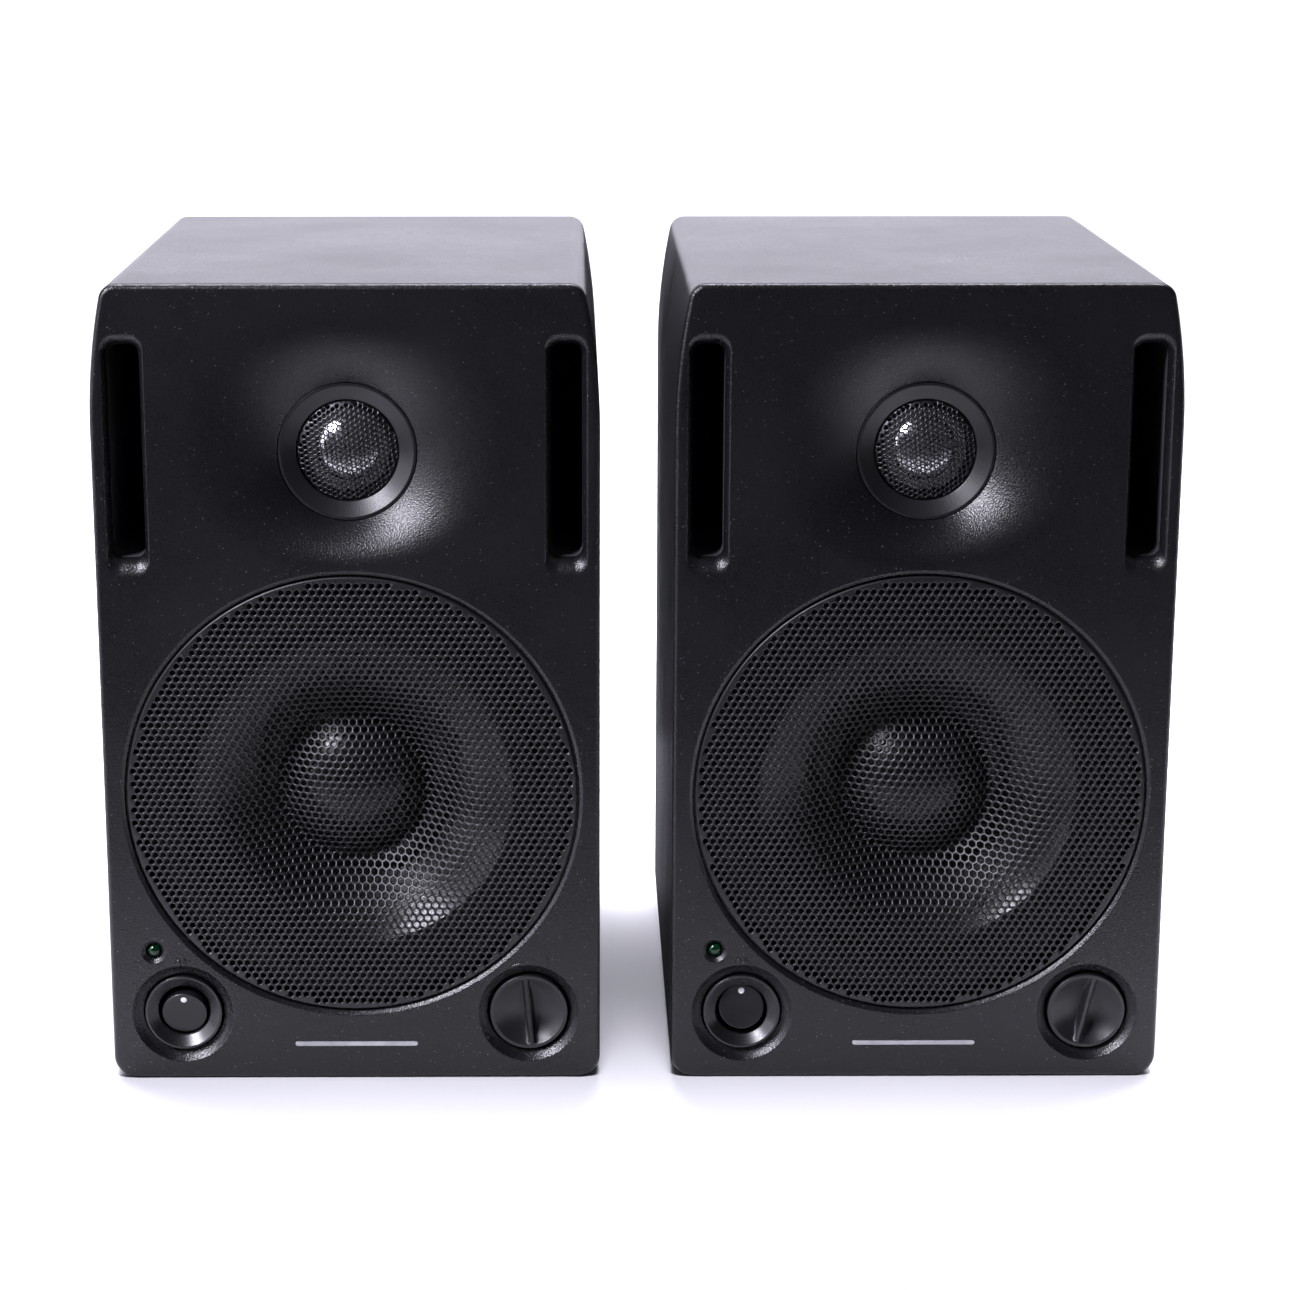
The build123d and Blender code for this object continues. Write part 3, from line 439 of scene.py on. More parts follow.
def grille_coat():
    """Satin black powder coat on pressed steel."""
    made = Shader("grille_coat", (0.006, 0.006, 0.0072), 0.4, Specular_IOR_Level=0.5)
    fine = made.noise(2600, 2.0)
    made.link("Base Color", made.mix(made.ramp(made.noise(40), 0.35, 0.7),
                                     (0.005, 0.005, 0.006), (0.008, 0.008, 0.0095)))
    made.link("Roughness", made.ramp(fine, 0.3, 0.7, 0.36, 0.46))
    made.bump(fine, 0.00003)
    return made.material


def moulded(name, colour, roughness, grain=1800, depth=0.00003, **inputs):
    """Moulded plastic: a faint grain, slow colour drift and soft edges."""
    made = Shader(name, colour, roughness, **inputs)
    fine = made.noise(grain, 2.0)
    drift = made.ramp(made.noise(55, 3.0), 0.3, 0.75)
    lighter = tuple(c * 1.35 + 0.001 for c in colour)
    made.link("Base Color", made.mix(drift, colour, lighter))
    made.link("Roughness", made.ramp(fine, 0.3, 0.7, roughness - 0.05, roughness + 0.07))
    made.edges_rounded(0.00025)
    made.bump(fine, depth)
    return made.material


def metal(name, colour, roughness, brushed=(1, 1, 1), scale=900, depth=0.00002, **inputs):
    """Bare or plated metal with fine tool marks and tarnish."""
    made = Shader(name, colour, roughness, Metallic=1.0, **inputs)
    marks = made.noise(scale, 3.0, 0.6, made.stretched(brushed))
    tarnish = made.ramp(made.noise(130, 4.0), 0.4, 0.75)
    made.link("Base Color", made.mix(tarnish, colour, tuple(c * 0.72 for c in colour)))
    made.link("Roughness", made.ramp(marks, 0.3, 0.7, max(roughness - 0.08, 0.03), roughness + 0.1))
    made.edges_rounded(0.0002)
    made.bump(marks, depth)
    return made.material


def rubber(name, colour):
    made = Shader(name, colour, 0.62, Specular_IOR_Level=0.35)
    fine = made.noise(1300, 3.0)
    made.link("Base Color", made.mix(made.ramp(made.noise(90), 0.4, 0.7), colour,
                                     tuple(c * 1.6 for c in colour)))
    made.link("Roughness", made.ramp(fine, 0.3, 0.7, 0.5, 0.72))
    made.bump(fine, 0.00004)
    return made.material


def fibre(name, colour, scale, stretch):
    """Pressed pulp or cloth with short crossing fibres."""
    made = Shader(name, colour, 0.75, Specular_IOR_Level=0.3)
    one = made.noise(scale, 4.0, 0.65, made.stretched(stretch))
    other = made.noise(scale, 4.0, 0.65, made.stretched(stretch[::-1]))
    threads = made.math("MAXIMUM", one, other)
    made.link("Base Color", made.mix(made.ramp(threads, 0.45, 0.7), colour,
                                     tuple(c * 1.7 for c in colour)))
    made.link("Roughness", made.ramp(threads, 0.4, 0.7, 0.65, 0.85))
    made.bump(threads, 0.00008)
    return made.material


def lamp_lens():
    """Dark green lens with a glassy skin and a deeper core."""
    made = Shader("lamp_lens", (0.001, 0.02, 0.006), 0.08, Specular_IOR_Level=0.5)
    core = made.ramp(made.noise(420, 2.0), 0.35, 0.7)
    made.link("Base Color", made.mix(core, (0.0005, 0.011, 0.0035), (0.0012, 0.028, 0.009)))
    made.link("Roughness", made.ramp(made.noise(900), 0.3, 0.7, 0.04, 0.1))
    return made.material


def printed(name, colour, roughness):
    """Printed or painted mark with a slightly worn edge."""
    made = Shader(name, colour, roughness)
    worn = made.ramp(made.noise(700, 4.0), 0.62, 0.75, 0.0, 0.5)
    made.link("Base Color", made.mix(worn, colour, tuple(c * 0.5 for c in colour)))
    made.link("Roughness", made.ramp(made.noise(1500), 0.3, 0.7, roughness - 0.05, roughness + 0.1))
    made.bump(made.noise(1800), 0.00002)
    return made.material


PAINT = cabinet_paint()
GRILLE = grille_coat()
MESH = metal("mesh_steel", (0.06, 0.06, 0.064), 0.36, scale=700)
GASKET = rubber("gasket_rubber", (0.004, 0.004, 0.0045))
DUCT = moulded("duct_plastic", (0.03, 0.03, 0.034), 0.6, 900, 0.00005)
CASTING = metal("driver_casting", (0.03, 0.03, 0.033), 0.5)
FERRITE = metal("magnet_steel", (0.07, 0.07, 0.075), 0.45)
PULP = moulded("cone_polymer", (0.007, 0.007, 0.008), 0.24, 700, 0.00004, Specular_IOR_Level=0.65)
ROLL = rubber("surround_rubber", (0.007, 0.007, 0.008))
CLOTH = fibre("spider_cloth", (0.3, 0.2, 0.08), 1400, (1.0, 1.0, 0.1))
MOULDING = moulded("moulded_plastic", (0.006, 0.006, 0.0072), 0.34, 2400, 0.00002)
GLOSS = moulded("gloss_plastic", (0.004, 0.004, 0.005), 0.3, 2600, 0.00001, Specular_IOR_Level=0.55)
SOCKET = moulded("socket_plastic", (0.01, 0.01, 0.011), 0.48)
SLIDER = moulded("slider_plastic", (0.62, 0.62, 0.58), 0.45)
DOME = metal("dome_metal", (0.92, 0.92, 0.95), 0.14, scale=600)
LENS = lamp_lens()
PANEL = moulded("panel_metal", (0.013, 0.013, 0.0145), 0.42, 1100, 0.00005)
NICKEL = metal("socket_metal", (0.1, 0.1, 0.105), 0.3)
SCREW = metal("screw_steel", (0.2, 0.2, 0.205), 0.32)
LAMINATION = metal("transformer_steel", (0.13, 0.11, 0.09), 0.5, (1, 12, 1))
LAMINATE = moulded("board_laminate", (0.01, 0.09, 0.03), 0.4)
WHITE_MARK = printed("white_mark", (0.72, 0.72, 0.74), 0.45)
SILVER_MARK = metal("silver_mark", (0.55, 0.55, 0.58), 0.35, (1, 1, 8))

CAD_MATERIALS = {
    "front_baffle": PAINT, "rear_casing": PAINT, "casing_gasket": GASKET, "port_ducts": DUCT,
    "woofer_grille": GRILLE, "woofer_frame": CASTING, "woofer_magnet": FERRITE,
    "woofer_cone": PULP, "dust_cap": PULP, "woofer_surround": ROLL, "woofer_spider": CLOTH,
    "tweeter_ring": MOULDING, "tweeter_mesh": GRILLE, "tweeter_dome": DOME,
    "tweeter_magnet": FERRITE, "power_lamp": LENS, "switch_body": GLOSS,
    "switch_rocker": MOULDING, "volume_knob": MOULDING, "volume_pot": SOCKET,
    "amplifier_panel": PANEL, "mains_inlet": SOCKET, "xlr_socket": NICKEL,
    "jack_socket": SOCKET, "tone_switch": SOCKET, "bass_slider": SLIDER,
    "treble_slider": SLIDER, "panel_screws": SCREW, "transformer": LAMINATION,
    "amplifier_board": LAMINATE,
}


def weld_and_smooth(item):
    """Smooth light over a CAD node's curves and crisp edges where its faces meet."""
    item.data.shade_smooth()
    weld = item.modifiers.new("weld", "WELD")
    weld.merge_threshold = 1e-6
    split = item.modifiers.new("edges", "EDGE_SPLIT")
    split.split_angle = math.radians(28)
    weighted = item.modifiers.new("normals", "WEIGHTED_NORMAL")
    weighted.keep_sharp = True


for node, item in frame["nodes"].items():
    item.data.materials.clear()
    item.data.materials.append(CAD_MATERIALS[node.split("_", 1)[1]])
    weld_and_smooth(item)


def piece(name, side, body, shape, material, replaces=(), sharp=32.0):
    """One visible piece of one speaker, placed in the shared frame."""
    points, faces = shape.welded()
    mesh = bpy.data.meshes.new(f"{side}_{name}")
    placed = (points + (CENTRE_X[side], FRONT, 0)) * MM
    mesh.from_pydata(placed.tolist(), [], faces)
    mesh.validate()
    item = bpy.data.objects.new(f"{side}_{name}", mesh)
    bpy.context.scene.collection.objects.link(item)
    outward(mesh)
    mesh.shade_smooth()
    if sharp < 90:
        mesh.set_sharp_from_angle(angle=math.radians(sharp))
        weighted = item.modifiers.new("normals", "WEIGHTED_NORMAL")
        weighted.keep_sharp = True
    mesh.materials.append(material)
    if body:
        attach(item, f"{side}_{body}")
    if replaces:
        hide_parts(*(f"{side}_{node}" for node in replaces))
    return item


def outward(mesh):
    working = bmesh.new()
    working.from_mesh(mesh)
    bmesh.ops.recalc_face_normals(working, faces=working.faces)
    working.to_mesh(mesh)
    working.free()


# ---------------------------------------------------------------- front baffle
def dish_reach(x, z):
    """1 on the dish's rim and less within it."""
    return (np.abs((x - TWEETER_X) / DISH_HALF[0])**2.5
            + np.abs((z - DISH_Z) / DISH_HALF[1])**2.5)**(1 / 2.5)


def dish(x, z):
    """Depth of the waveguide: steep at the tweeter and running out flat at its rim."""
    across, up = x - TWEETER_X, z - TWEETER_Z
    distance = np.maximum(np.hypot(across, up), 1e-6)
    edge = RING_R + 0.35
    at_ring = dish_reach(TWEETER_X + across / distance * edge, TWEETER_Z + up / distance * edge)
    share = (dish_reach(x, z) - at_ring) / (1 - at_ring)
    share = np.clip(share, 0, 1)
    return FACE + (DISH_DEPTH - FACE) * (1 - share)**1.9


def letter_n(x, z, width, height, stroke):
    """Outline of an N, anticlockwise."""
    left, right, foot, top = x - width / 2, x + width / 2, z - height / 2, z + height / 2
    slant = stroke * 1.25
    return np.array([
        (left, foot), (left + stroke, foot), (left + stroke, top - slant * 1.6), (right - stroke, foot),
        (right, foot), (right, top), (right - stroke, top), (right - stroke, foot + slant * 1.6),
        (left + stroke, top), (left, top),
    ])


def engraved_marks():
    """Loops of the engraved ON and the knob's two scale marks, in pairs of brink and floor."""
    sunk = FACE + 0.2
    wall = 0.25
    on_z = place("left_power_lamp")[0].z - 3.7
    letter_o = circle(1.0, 0, 0, 32) * (1.15, 1.55) + (-54.6, on_z)
    marks = [(letter_o, FACE), (inset(letter_o, wall), sunk),
             (inset(letter_o, 0.62 - wall), sunk), (inset(letter_o, 0.62), FACE)]
    slots = [letter_n(-51.8, on_z, 2.1, 3.1, 0.55),
             rounded_slot(KNOB_X + 6.1, CONTROL_Z + 16.6, 0.8, 4.2, 0.3, 4),
             turned_loop(rounded_slot(0, 0, 2.9, 0.6, 0.25, 4), 15, KNOB_X - 4.2, CONTROL_Z + 16)]
    for loop in slots:
        marks += [(loop, FACE), (inset(loop, wall), sunk)]
    return marks


def turned_loop(loop, degrees, x, z):
    angle = math.radians(degrees)
    spin = np.array([[math.cos(angle), -math.sin(angle)], [math.sin(angle), math.cos(angle)]])
    return loop @ spin.T + (x, z)


def quarter_round(radius, steps=6):
    """(inset, depth) steps of a rounded edge that turns from the face into a wall."""
    turn = np.linspace(0, math.pi / 2, steps + 1)
    return [(radius * math.sin(t), radius * (1 - math.cos(t))) for t in turn]


def baffle_shape():
    """Cast baffle: rounded rim, dish, port flares, recess lips and engraved marks."""
    shape = Shape()
    outline = cabinet_outline()
    edge = 1.7
    rim = [at_depth(inset(outline, edge - across), FACE + deep)
           for across, deep in quarter_round(edge, 7)]
    rim += [at_depth(inset(outline, step), deep) for step, deep in
            ((0, RIM - 0.25), (0.25, RIM), (2.6, RIM), (2.6, PLATE))]
    shape.loft(rim)
    front_loops = [(inset(outline, edge), FACE)]
    back_loops = [(inset(outline, 2.6), PLATE)]

    def opening(loops, depths):
        """A skin from the face into the plate, whose first loop is the brink."""
        shape.loft([at_depth(loop, depth) for loop, depth in zip(loops, depths)])
        front_loops.append((loops[0], depths[0]))
        back_loops.append((loops[-1], depths[-1]))

    lip = 1.5
    recess = circle(RECESS_R + lip, WOOFER_X, WOOFER_Z, 200)
    steps = [(0, FACE), (0.15, FACE + 0.04), (0.35, FACE + 0.14), (1.15, FACE + 0.74),
             (1.35, FACE + 0.96), (lip, FACE + 1.4), (lip, 2.5), (lip + 1.6, 2.5),
             (lip + 1.6, PLATE)]
    opening([inset(recess, across) for across, _ in steps], [deep for _, deep in steps])

    brink = circle(RING_R + 0.35, TWEETER_X, TWEETER_Z, 120)
    steps = [(0, DISH_DEPTH), (0.12, DISH_DEPTH + 0.2), (0.12, 14)]
    opening([inset(brink, across) for across, _ in steps] + [inset(brink, -2), inset(brink, -2)],
            [deep for _, deep in steps] + [14, 13])

    for x in (-PORT_X, PORT_X):
        outer = rounded_slot(x, PORT_Z - 0.9, PORT_WIDTH + 3.6, PORT_HEIGHT + 9.4, 4.6, 12)
        inner = rounded_slot(x, PORT_Z, PORT_WIDTH, PORT_HEIGHT, 3, 12)
        turns = np.linspace(0, math.pi / 2, 9)
        loops = [outer + (inner - outer) * math.sin(t)**1.25 for t in turns]
        depths = [FACE + (PLATE - FACE + 0.6) * (1 - math.cos(t)) for t in turns]
        opening(loops + [inset(inner, -2)], depths + [PLATE + 0.6])

    for x, well in ((SWITCH_X, BEZEL_R + 0.45), (KNOB_X, KNOB_R + 0.7)):
        brink = circle(15.9, x, CONTROL_Z, 120)
        cove = [(0, FACE), (0.15, FACE + 0.04), (0.4, FACE + 0.22), (1.0, FACE + 0.85),
                (1.6, FACE + 1.35), (2.3, FACE + 1.8), (15.9 - well - 0.2, FACE + 2.2),
                (15.9 - well, FACE + 2.7), (15.9 - well, 9.4), (1.6, 9.4), (1.6, PLATE)]
        opening([inset(brink, across) for across, _ in cove], [deep for _, deep in cove])

    bevel = circle(3.9, LAMP_X, LAMP_Z, 64)
    steps = [(0, FACE), (0.2, FACE + 0.08), (1.3, 1.2), (1.5, 1.6), (1.5, PLATE)]
    opening([inset(bevel, across) for across, _ in steps], [deep for _, deep in steps])

    marks = engraved_marks()
    holes = [loop for loop, _ in front_loops[1:]]

    def face_depth(x, z):
        return dish(np.asarray(x, float), np.asarray(z, float))

    def in_dish(grid):
        return dish_reach(grid[:, 0], grid[:, 1]) < 1.04

    shape.add(*filled(front_loops + marks, holes, face_depth, 6, (in_dish, 1.5)))

    def back_depth(x, z):
        return np.maximum(PLATE, face_depth(x, z) + 3)

    shape.add(*filled(back_loops, [loop for loop, _ in back_loops[1:]], back_depth, 7))
    return shape


# ---------------------------------------------------------------- perforated sheets
def perforated(radius, pitch, hole_r, thick, depth, brim, x, z, spin=0.0):
    """A pressed sheet with round holes in a triangular lattice, out to a rolled brim.

    depth(r) is its front at radius r, brim is a list of (radius, depth) from front to back and
    spin turns the lattice.
    """
    shape = Shape()
    grid = lattice((-radius, -radius), (radius, radius), pitch)
    reach = np.hypot(*grid.T)
    corner_r = pitch / math.sqrt(3)
    whole = reach + corner_r < radius - 0.25
    edge_holes = grid[~whole & (reach + hole_r < radius - 0.18)]
    cells = grid[whole]
    turns = np.radians(np.arange(12) * 30.0)
    hole = cells[:, None, :] + hole_r * np.column_stack([np.cos(turns), np.sin(turns)])[None]
    corner = cells[:, None, :] + corner_r * np.column_stack([np.cos(turns[1::2]),
                                                             np.sin(turns[1::2])])[None]
    flat = np.concatenate([hole, corner], axis=1)
    sizes = flat.shape[0] * flat.shape[1]
    flat = flat.reshape(-1, 2)
    front = at_depth(flat, depth(np.hypot(*flat.T)))
    faces = []
    for cell in range(len(cells)):
        base = cell * 18
        for k in range(6):
            a, b = base + 12 + k, base + 12 + (k + 1) % 6
            h1, h2, h3 = (base + (1 + 2 * k + step) % 12 for step in range(3))
            for face in ((a, h2, h1), (a, b, h2), (b, h3, h2)):
                faces += [face, tuple(v + sizes for v in reversed(face))]
        faces += [(base + j, base + (j + 1) % 12, sizes + base + (j + 1) % 12, sizes + base + j)
                  for j in range(12)]
    shape.add(np.concatenate([front, front + (0, thick, 0)]), faces)

    border = border_loop(corner, pitch)
    rim = circle(radius, 0, 0, 240)
    small = [edge_holes[k] + circle(hole_r, 0, 0, 12) for k in range(len(edge_holes))]
    loops = [(loop, depth(np.hypot(*loop.T))) for loop in [rim, border, *small]]

    def between(px, pz):
        return depth(np.hypot(px, pz))

    points, triangles = filled(loops, [border, *small], between)
    shape.add(points, triangles)
    shape.add(points + (0, thick, 0), triangles[:, ::-1])
    for loop in small:
        top = at_depth(loop, depth(np.hypot(*loop.T)))
        shape.loft([top, top + (0, thick, 0)])
    first = float(depth(np.array([radius]))[0])
    steps = [(radius, first), *brim, (radius, first + thick)]
    shape.loft([at_depth(circle(r, 0, 0, 240), deep) for r, deep in steps])
    turn = Matrix.Rotation(math.radians(-spin), 4, "Y")
    return shape.moved(Matrix.Translation((x, 0, z)) @ turn)


def border_loop(corner, pitch):
    """The outer border of a patch of hexagons, anticlockwise."""
    size = len(corner)
    flat = corner.reshape(-1, 2)
    steps_apart = np.array((pitch / 2, pitch / math.sqrt(12)))
    _, first, where = np.unique(np.round(flat / steps_apart), axis=0, return_index=True,
                                return_inverse=True)
    where = where.ravel().reshape(size, 6)
    steps = {}
    for hexagon in where.tolist():
        for k in range(6):
            steps[(hexagon[k], hexagon[(k + 1) % 6])] = True
    onward = {a: b for a, b in steps if (b, a) not in steps}
    start = next(iter(onward))
    chain = [start]
    while onward[chain[-1]] != start:
        chain.append(onward[chain[-1]])
    return flat[first[chain]]


GRILLE_FRONT = 0.9
VALLEY_R, VALLEY_DEPTH, GRILLE_RISE = 22.4, 13.5, 8.0


def grille_depth(r):
    """Flat rim, a bend into the dip, a soft valley and the dome in the middle."""
    bend_at, bend_r, slope = 44.0, 15.5, math.radians(38)
    bend_end = bend_at - bend_r * math.sin(slope)
    bent = GRILLE_FRONT + bend_r - np.sqrt(np.maximum(bend_r**2 - (bend_at - r)**2, 0))
    straight = GRILLE_FRONT + bend_r * (1 - math.cos(slope)) + (bend_end - r) * math.tan(slope)
    dip = np.where(r > bend_at, GRILLE_FRONT, np.where(r > bend_end, bent, straight))
    ball = (VALLEY_R**2 + GRILLE_RISE**2) / (2 * GRILLE_RISE)
    cap = VALLEY_DEPTH - GRILLE_RISE + ball - np.sqrt(np.maximum(ball**2 - r**2, 0))
    soft = 1.2
    share = np.clip(0.5 + 0.5 * (cap - dip) / soft, 0, 1)
    lower = cap + (dip - cap) * share - soft * share * (1 - share)
    return np.where(r < 32, lower, dip)


def tweeter_mesh_depth(r):
    radius = local("tweeter_mesh")[2]
    rise, rim_depth = 3.2, DISH_DEPTH + 3
    ball = (radius**2 + rise**2) / (2 * rise)
    return rim_depth - rise + ball - np.sqrt(np.maximum(ball**2 - r**2, 0))


# ---------------------------------------------------------------- drivers
def cone_shape():
    """Gently curved cone and its coil former."""
    points = [(7.2, 50.2), (8.1, 50.2)]
    outer = np.linspace(50.2, 13.8, 16)
    share = (50.2 - outer) / (50.2 - 13.8)
    sweep = 7.2 + 21.6 * share**0.86
    back = [(depth + 0.9, radius) for depth, radius in zip(sweep, outer)]
    front = [(depth, radius) for depth, radius in zip(sweep, outer)]
    points = front + [(29, 12.5), (56, 12.5), (56, 13.2), (30.2, 13.2)] + back[::-1]
    return Shape().turned(points, WOOFER_X, WOOFER_Z, 128)


def cap_shape():
    radius, rim, rise, wall = 22.0, 22.0, 10.6, 0.6
    ball = (radius**2 + rise**2) / (2 * rise)
    radii = np.linspace(0, radius, 18)
    front = [(rim - rise + ball - math.sqrt(ball**2 - r**2), r) for r in radii]
    lip = [(rim + 1.0, radius + 1.2), (rim + 1.6, radius + 1.2)]
    back = [(depth + wall, r) for depth, r in front[::-1]]
    return Shape().turned(front + lip + back, WOOFER_X, WOOFER_Z, 96)


SECTORS = 12


def roll_sector(sector):
    """One sector of the half-roll surround, from the basket's flange to the cone's edge."""
    foot, wall, roll_r, middle = 6.9, 0.6, 3.6, 54.4
    over = [(foot - wall - roll_r * math.sin(t), middle + roll_r * math.cos(t))
            for t in np.linspace(0, math.pi, 15)]
    under = [(foot - (roll_r - wall) * math.sin(t), middle + (roll_r - wall) * math.cos(t))
             for t in np.linspace(math.pi, 0, 15)]
    section = [(foot - wall, 62.3), *over, (foot - wall, 48.8), (foot, 48.8), *under, (foot, 62.3)]
    step = 2 * math.pi / SECTORS
    shape = Shape()
    loops = []
    for turn in np.linspace(sector * step, (sector + 1) * step, 9):
        loops.append(np.array([(WOOFER_X + radius * math.cos(turn), depth,
                                WOOFER_Z + radius * math.sin(turn)) for depth, radius in section]))
    shape.loft(loops, cap=True)
    middle_turn = (sector + 0.5) * step
    return shape, Vector((math.cos(middle_turn), 0, math.sin(middle_turn)))


def tweeter_ring_shape():
    profile = rounded_profile([
        (DISH_DEPTH + 0.1, RING_R, 0.0), (DISH_DEPTH, RING_R - 0.8, 0.2), (DISH_DEPTH + 2.4, 15.45, 0.3),
        (DISH_DEPTH + 5, 15.4, 0), (DISH_DEPTH + 5, RING_R, 0)])
    return Shape().turned(profile, TWEETER_X, TWEETER_Z, 128)


def dome_shape():
    """Drawn metal dome with a small neck, and its flat edge ring."""
    rim, radius, rise = DISH_DEPTH + 5, 9.4, 3.1
    ball = (radius**2 + rise**2) / (2 * rise)
    radii = np.linspace(0, radius, 16)
    front = [(rim - rise + ball - math.sqrt(ball**2 - r**2), r) for r in radii]
    edge = [(rim + 0.2, 9.6), (rim + 0.2, 12.5), (rim + 0.45, 12.5), (rim + 0.45, 9.6)]
    back = [(depth + 0.25, r) for depth, r in front[::-1]]
    return Shape().turned(front + edge + back, TWEETER_X, TWEETER_Z, 96)


# ---------------------------------------------------------------- controls and lamp
LIP_R = 7.8
ROCKER_R = 7.0
ROCKER_FACE = 4.4
ROCKER_HINGE = 7.5


def bezel_shape():
    profile = rounded_profile([
        (0.95, BEZEL_R, 0.25), (0.95, BEZEL_R - 0.75, 0.25), (3.3, LIP_R + 0.35, 0.3), (4.1, LIP_R, 0.2),
        (4.2, 9, 0), (12.5, 9, 0), (12.5, 10.4, 0), (9.5, 10.4, 0), (9.5, BEZEL_R, 0)])
    return Shape().turned(profile, SWITCH_X, CONTROL_Z, 128)


def rocker_shape(tilt):
    """Barrel of the rocker with a shallow dish in its face, tipped about its trunnions."""
    face = ROCKER_HINGE - ROCKER_FACE
    profile = rounded_profile([
        (face + 0.35, 0, 0), (face + 0.25, 3.2, 0), (face, ROCKER_R - 0.2, 0.35),
        (face + 0.3, ROCKER_R, 0.2), (face + 3, ROCKER_R, 0.3), (face + 3.4, 5, 0), (face + 6.8, 5, 0),
        (face + 6.8, 0, 0)])
    return tipped(Shape().turned(profile, SWITCH_X, CONTROL_Z, 96), tilt)


def dot_shape(tilt):
    """Small raised dot near the rocker's upper edge."""
    face = ROCKER_HINGE - ROCKER_FACE
    profile = [(face - 0.02, 0), (face, 0.7), (face + 0.08, 0.95), (face + 0.6, 0.95), (face + 0.6, 0)]
    return tipped(Shape().turned(profile, SWITCH_X, CONTROL_Z + 4.9, 32), tilt)


def tipped(shape, tilt):
    """The shape turned about the rocker's hinge; a positive tilt brings its top forward."""
    pivot = Matrix.Translation((0, ROCKER_HINGE, CONTROL_Z))
    return shape.moved(pivot @ Matrix.Rotation(math.radians(tilt), 4, "X") @ pivot.inverted())


def knob_shape(turn):
    """Dished knob with a thin finger blade across it."""
    front, back, bowl_r, bowl_deep = 1.0, 9.0, KNOB_R - 1.25, 4.0
    ball = (bowl_r**2 + bowl_deep**2) / (2 * bowl_deep)

    def bowl(x, z):
        r2 = np.minimum(np.asarray(x, float)**2 + np.asarray(z, float)**2, bowl_r**2)
        return front + bowl_deep - (ball - np.sqrt(ball**2 - r2))

    shape = Shape()
    edge = rounded_profile([(front, KNOB_R, 0.3), (front, bowl_r + 0.3, 0.0), (front + 3, bowl_r + 0.3, 0),
                            (back, KNOB_R, 0.3)])
    side = [p for p in edge if p[1] > bowl_r + 0.31]
    brink = circle(bowl_r, 0, 0, 128)
    start = [(bowl_r, front + 0.12), (bowl_r + 0.12, front + 0.02)]
    ring = start + [(bowl_r + 0.3, front)] + sorted(((r, d) for d, r in side[:6]), key=lambda p: p[0])
    ring += [(KNOB_R, back - 0.3), (KNOB_R - 0.3, back)]
    shape.loft([at_depth(circle(r, 0, 0, 128), d) for r, d in ring])
    blade = [(1.3, 0.05, None), (0.5, 0.15, front + 0.2), (0.3, 0.25, front + 0.05), (0.1, 0.4, front)]
    loops = [(rounded_slot(0, 0, width, 2 * bowl_r - short, width * 0.48, 6), deep)
             for width, short, deep in blade]
    rings = [at_depth(loop, bowl(*loop.T) if deep is None else deep) for loop, deep in loops]
    foot = loops[0][0]
    points, triangles = filled([(brink, front + 0.12), (foot, bowl(*foot.T))], [foot], bowl, 1.1)
    shape.add(points, triangles)
    shape.loft(rings)
    shape.add(rings[-1], [tuple(range(len(foot)))])
    shape.add(at_depth(circle(KNOB_R - 0.3, 0, 0, 128), back), [tuple(range(128))])
    shape.moved(Matrix.Rotation(math.radians(turn), 4, "Y"))
    shape.moved(Matrix.Translation((KNOB_X, 0, CONTROL_Z)))
    shaft = [(back - 1, 0), (back - 1, 3), (back + 10, 3), (back + 10, 0)]
    return shape.turned(shaft, KNOB_X, CONTROL_Z, 48)


def lamp_shape():
    radius = LAMP_R - 0.2
    nose = [(0.4 + radius * (1 - math.sin(t)), radius * math.cos(t))
            for t in np.linspace(math.pi / 2, 0, 14)]
    return Shape().turned([*nose, (12, radius), (12, 0)], LAMP_X, LAMP_Z, 64)


def badge_shape():
    """A blank name plate: one slim bar with round ends."""
    loop = rounded_slot(0, 11.4, 38, 1.5, 0.74, 8)
    steps = [(0, FACE + 0.3), (0, FACE - 0.06), (0.06, FACE - 0.13), (0.14, FACE - 0.15)]
    return Shape().loft([at_depth(inset(loop, step), deep) for step, deep in steps], cap=True)


# ---------------------------------------------------------------- make both speakers
def make_speaker(side, shared):
    piece("cast_baffle", side, "cabinet", shared["baffle"], PAINT, ["front_baffle"])
    piece("perforated_grille", side, "cabinet", shared["grille"], GRILLE,
          ["woofer_grille"], 180)
    piece("perforated_dome", side, "cabinet", shared["mesh"], MESH,
          ["tweeter_mesh"], 180)
    piece("curved_cone", side, "woofer", shared["cone"], PULP, ["woofer_cone"])
    piece("cap", side, "woofer", shared["cap"], PULP, ["dust_cap"])
    piece("throat_ring", side, "cabinet", shared["ring"], MOULDING,
          ["tweeter_ring"])
    piece("drawn_dome", side, "tweeter", shared["dome"], DOME, ["tweeter_dome"])
    piece("switch_bezel", side, "cabinet", shared["bezel"], GLOSS, ["switch_body"])
    piece("rocker", side, "rocker", rocker_shape(ROCKER_TILT[side]), MOULDING,
          ["switch_rocker"])
    piece("rocker_dot", side, "rocker", dot_shape(ROCKER_TILT[side]), WHITE_MARK)
    piece("knob", side, "knob", knob_shape(KNOB_TURN[side]), MOULDING,
          ["volume_knob"])
    piece("lamp_lens", side, "cabinet", shared["lamp"], LENS, ["power_lamp"])
    piece("blank_badge", side, "cabinet", shared["badge"], SILVER_MARK)
    for sector in range(SECTORS):
        shape, outward_way = roll_sector(sector)
        item = piece(f"surround_{sector:02d}", side, None, shape, ROLL)
        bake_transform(item)
        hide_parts(f"{side}_woofer_surround")


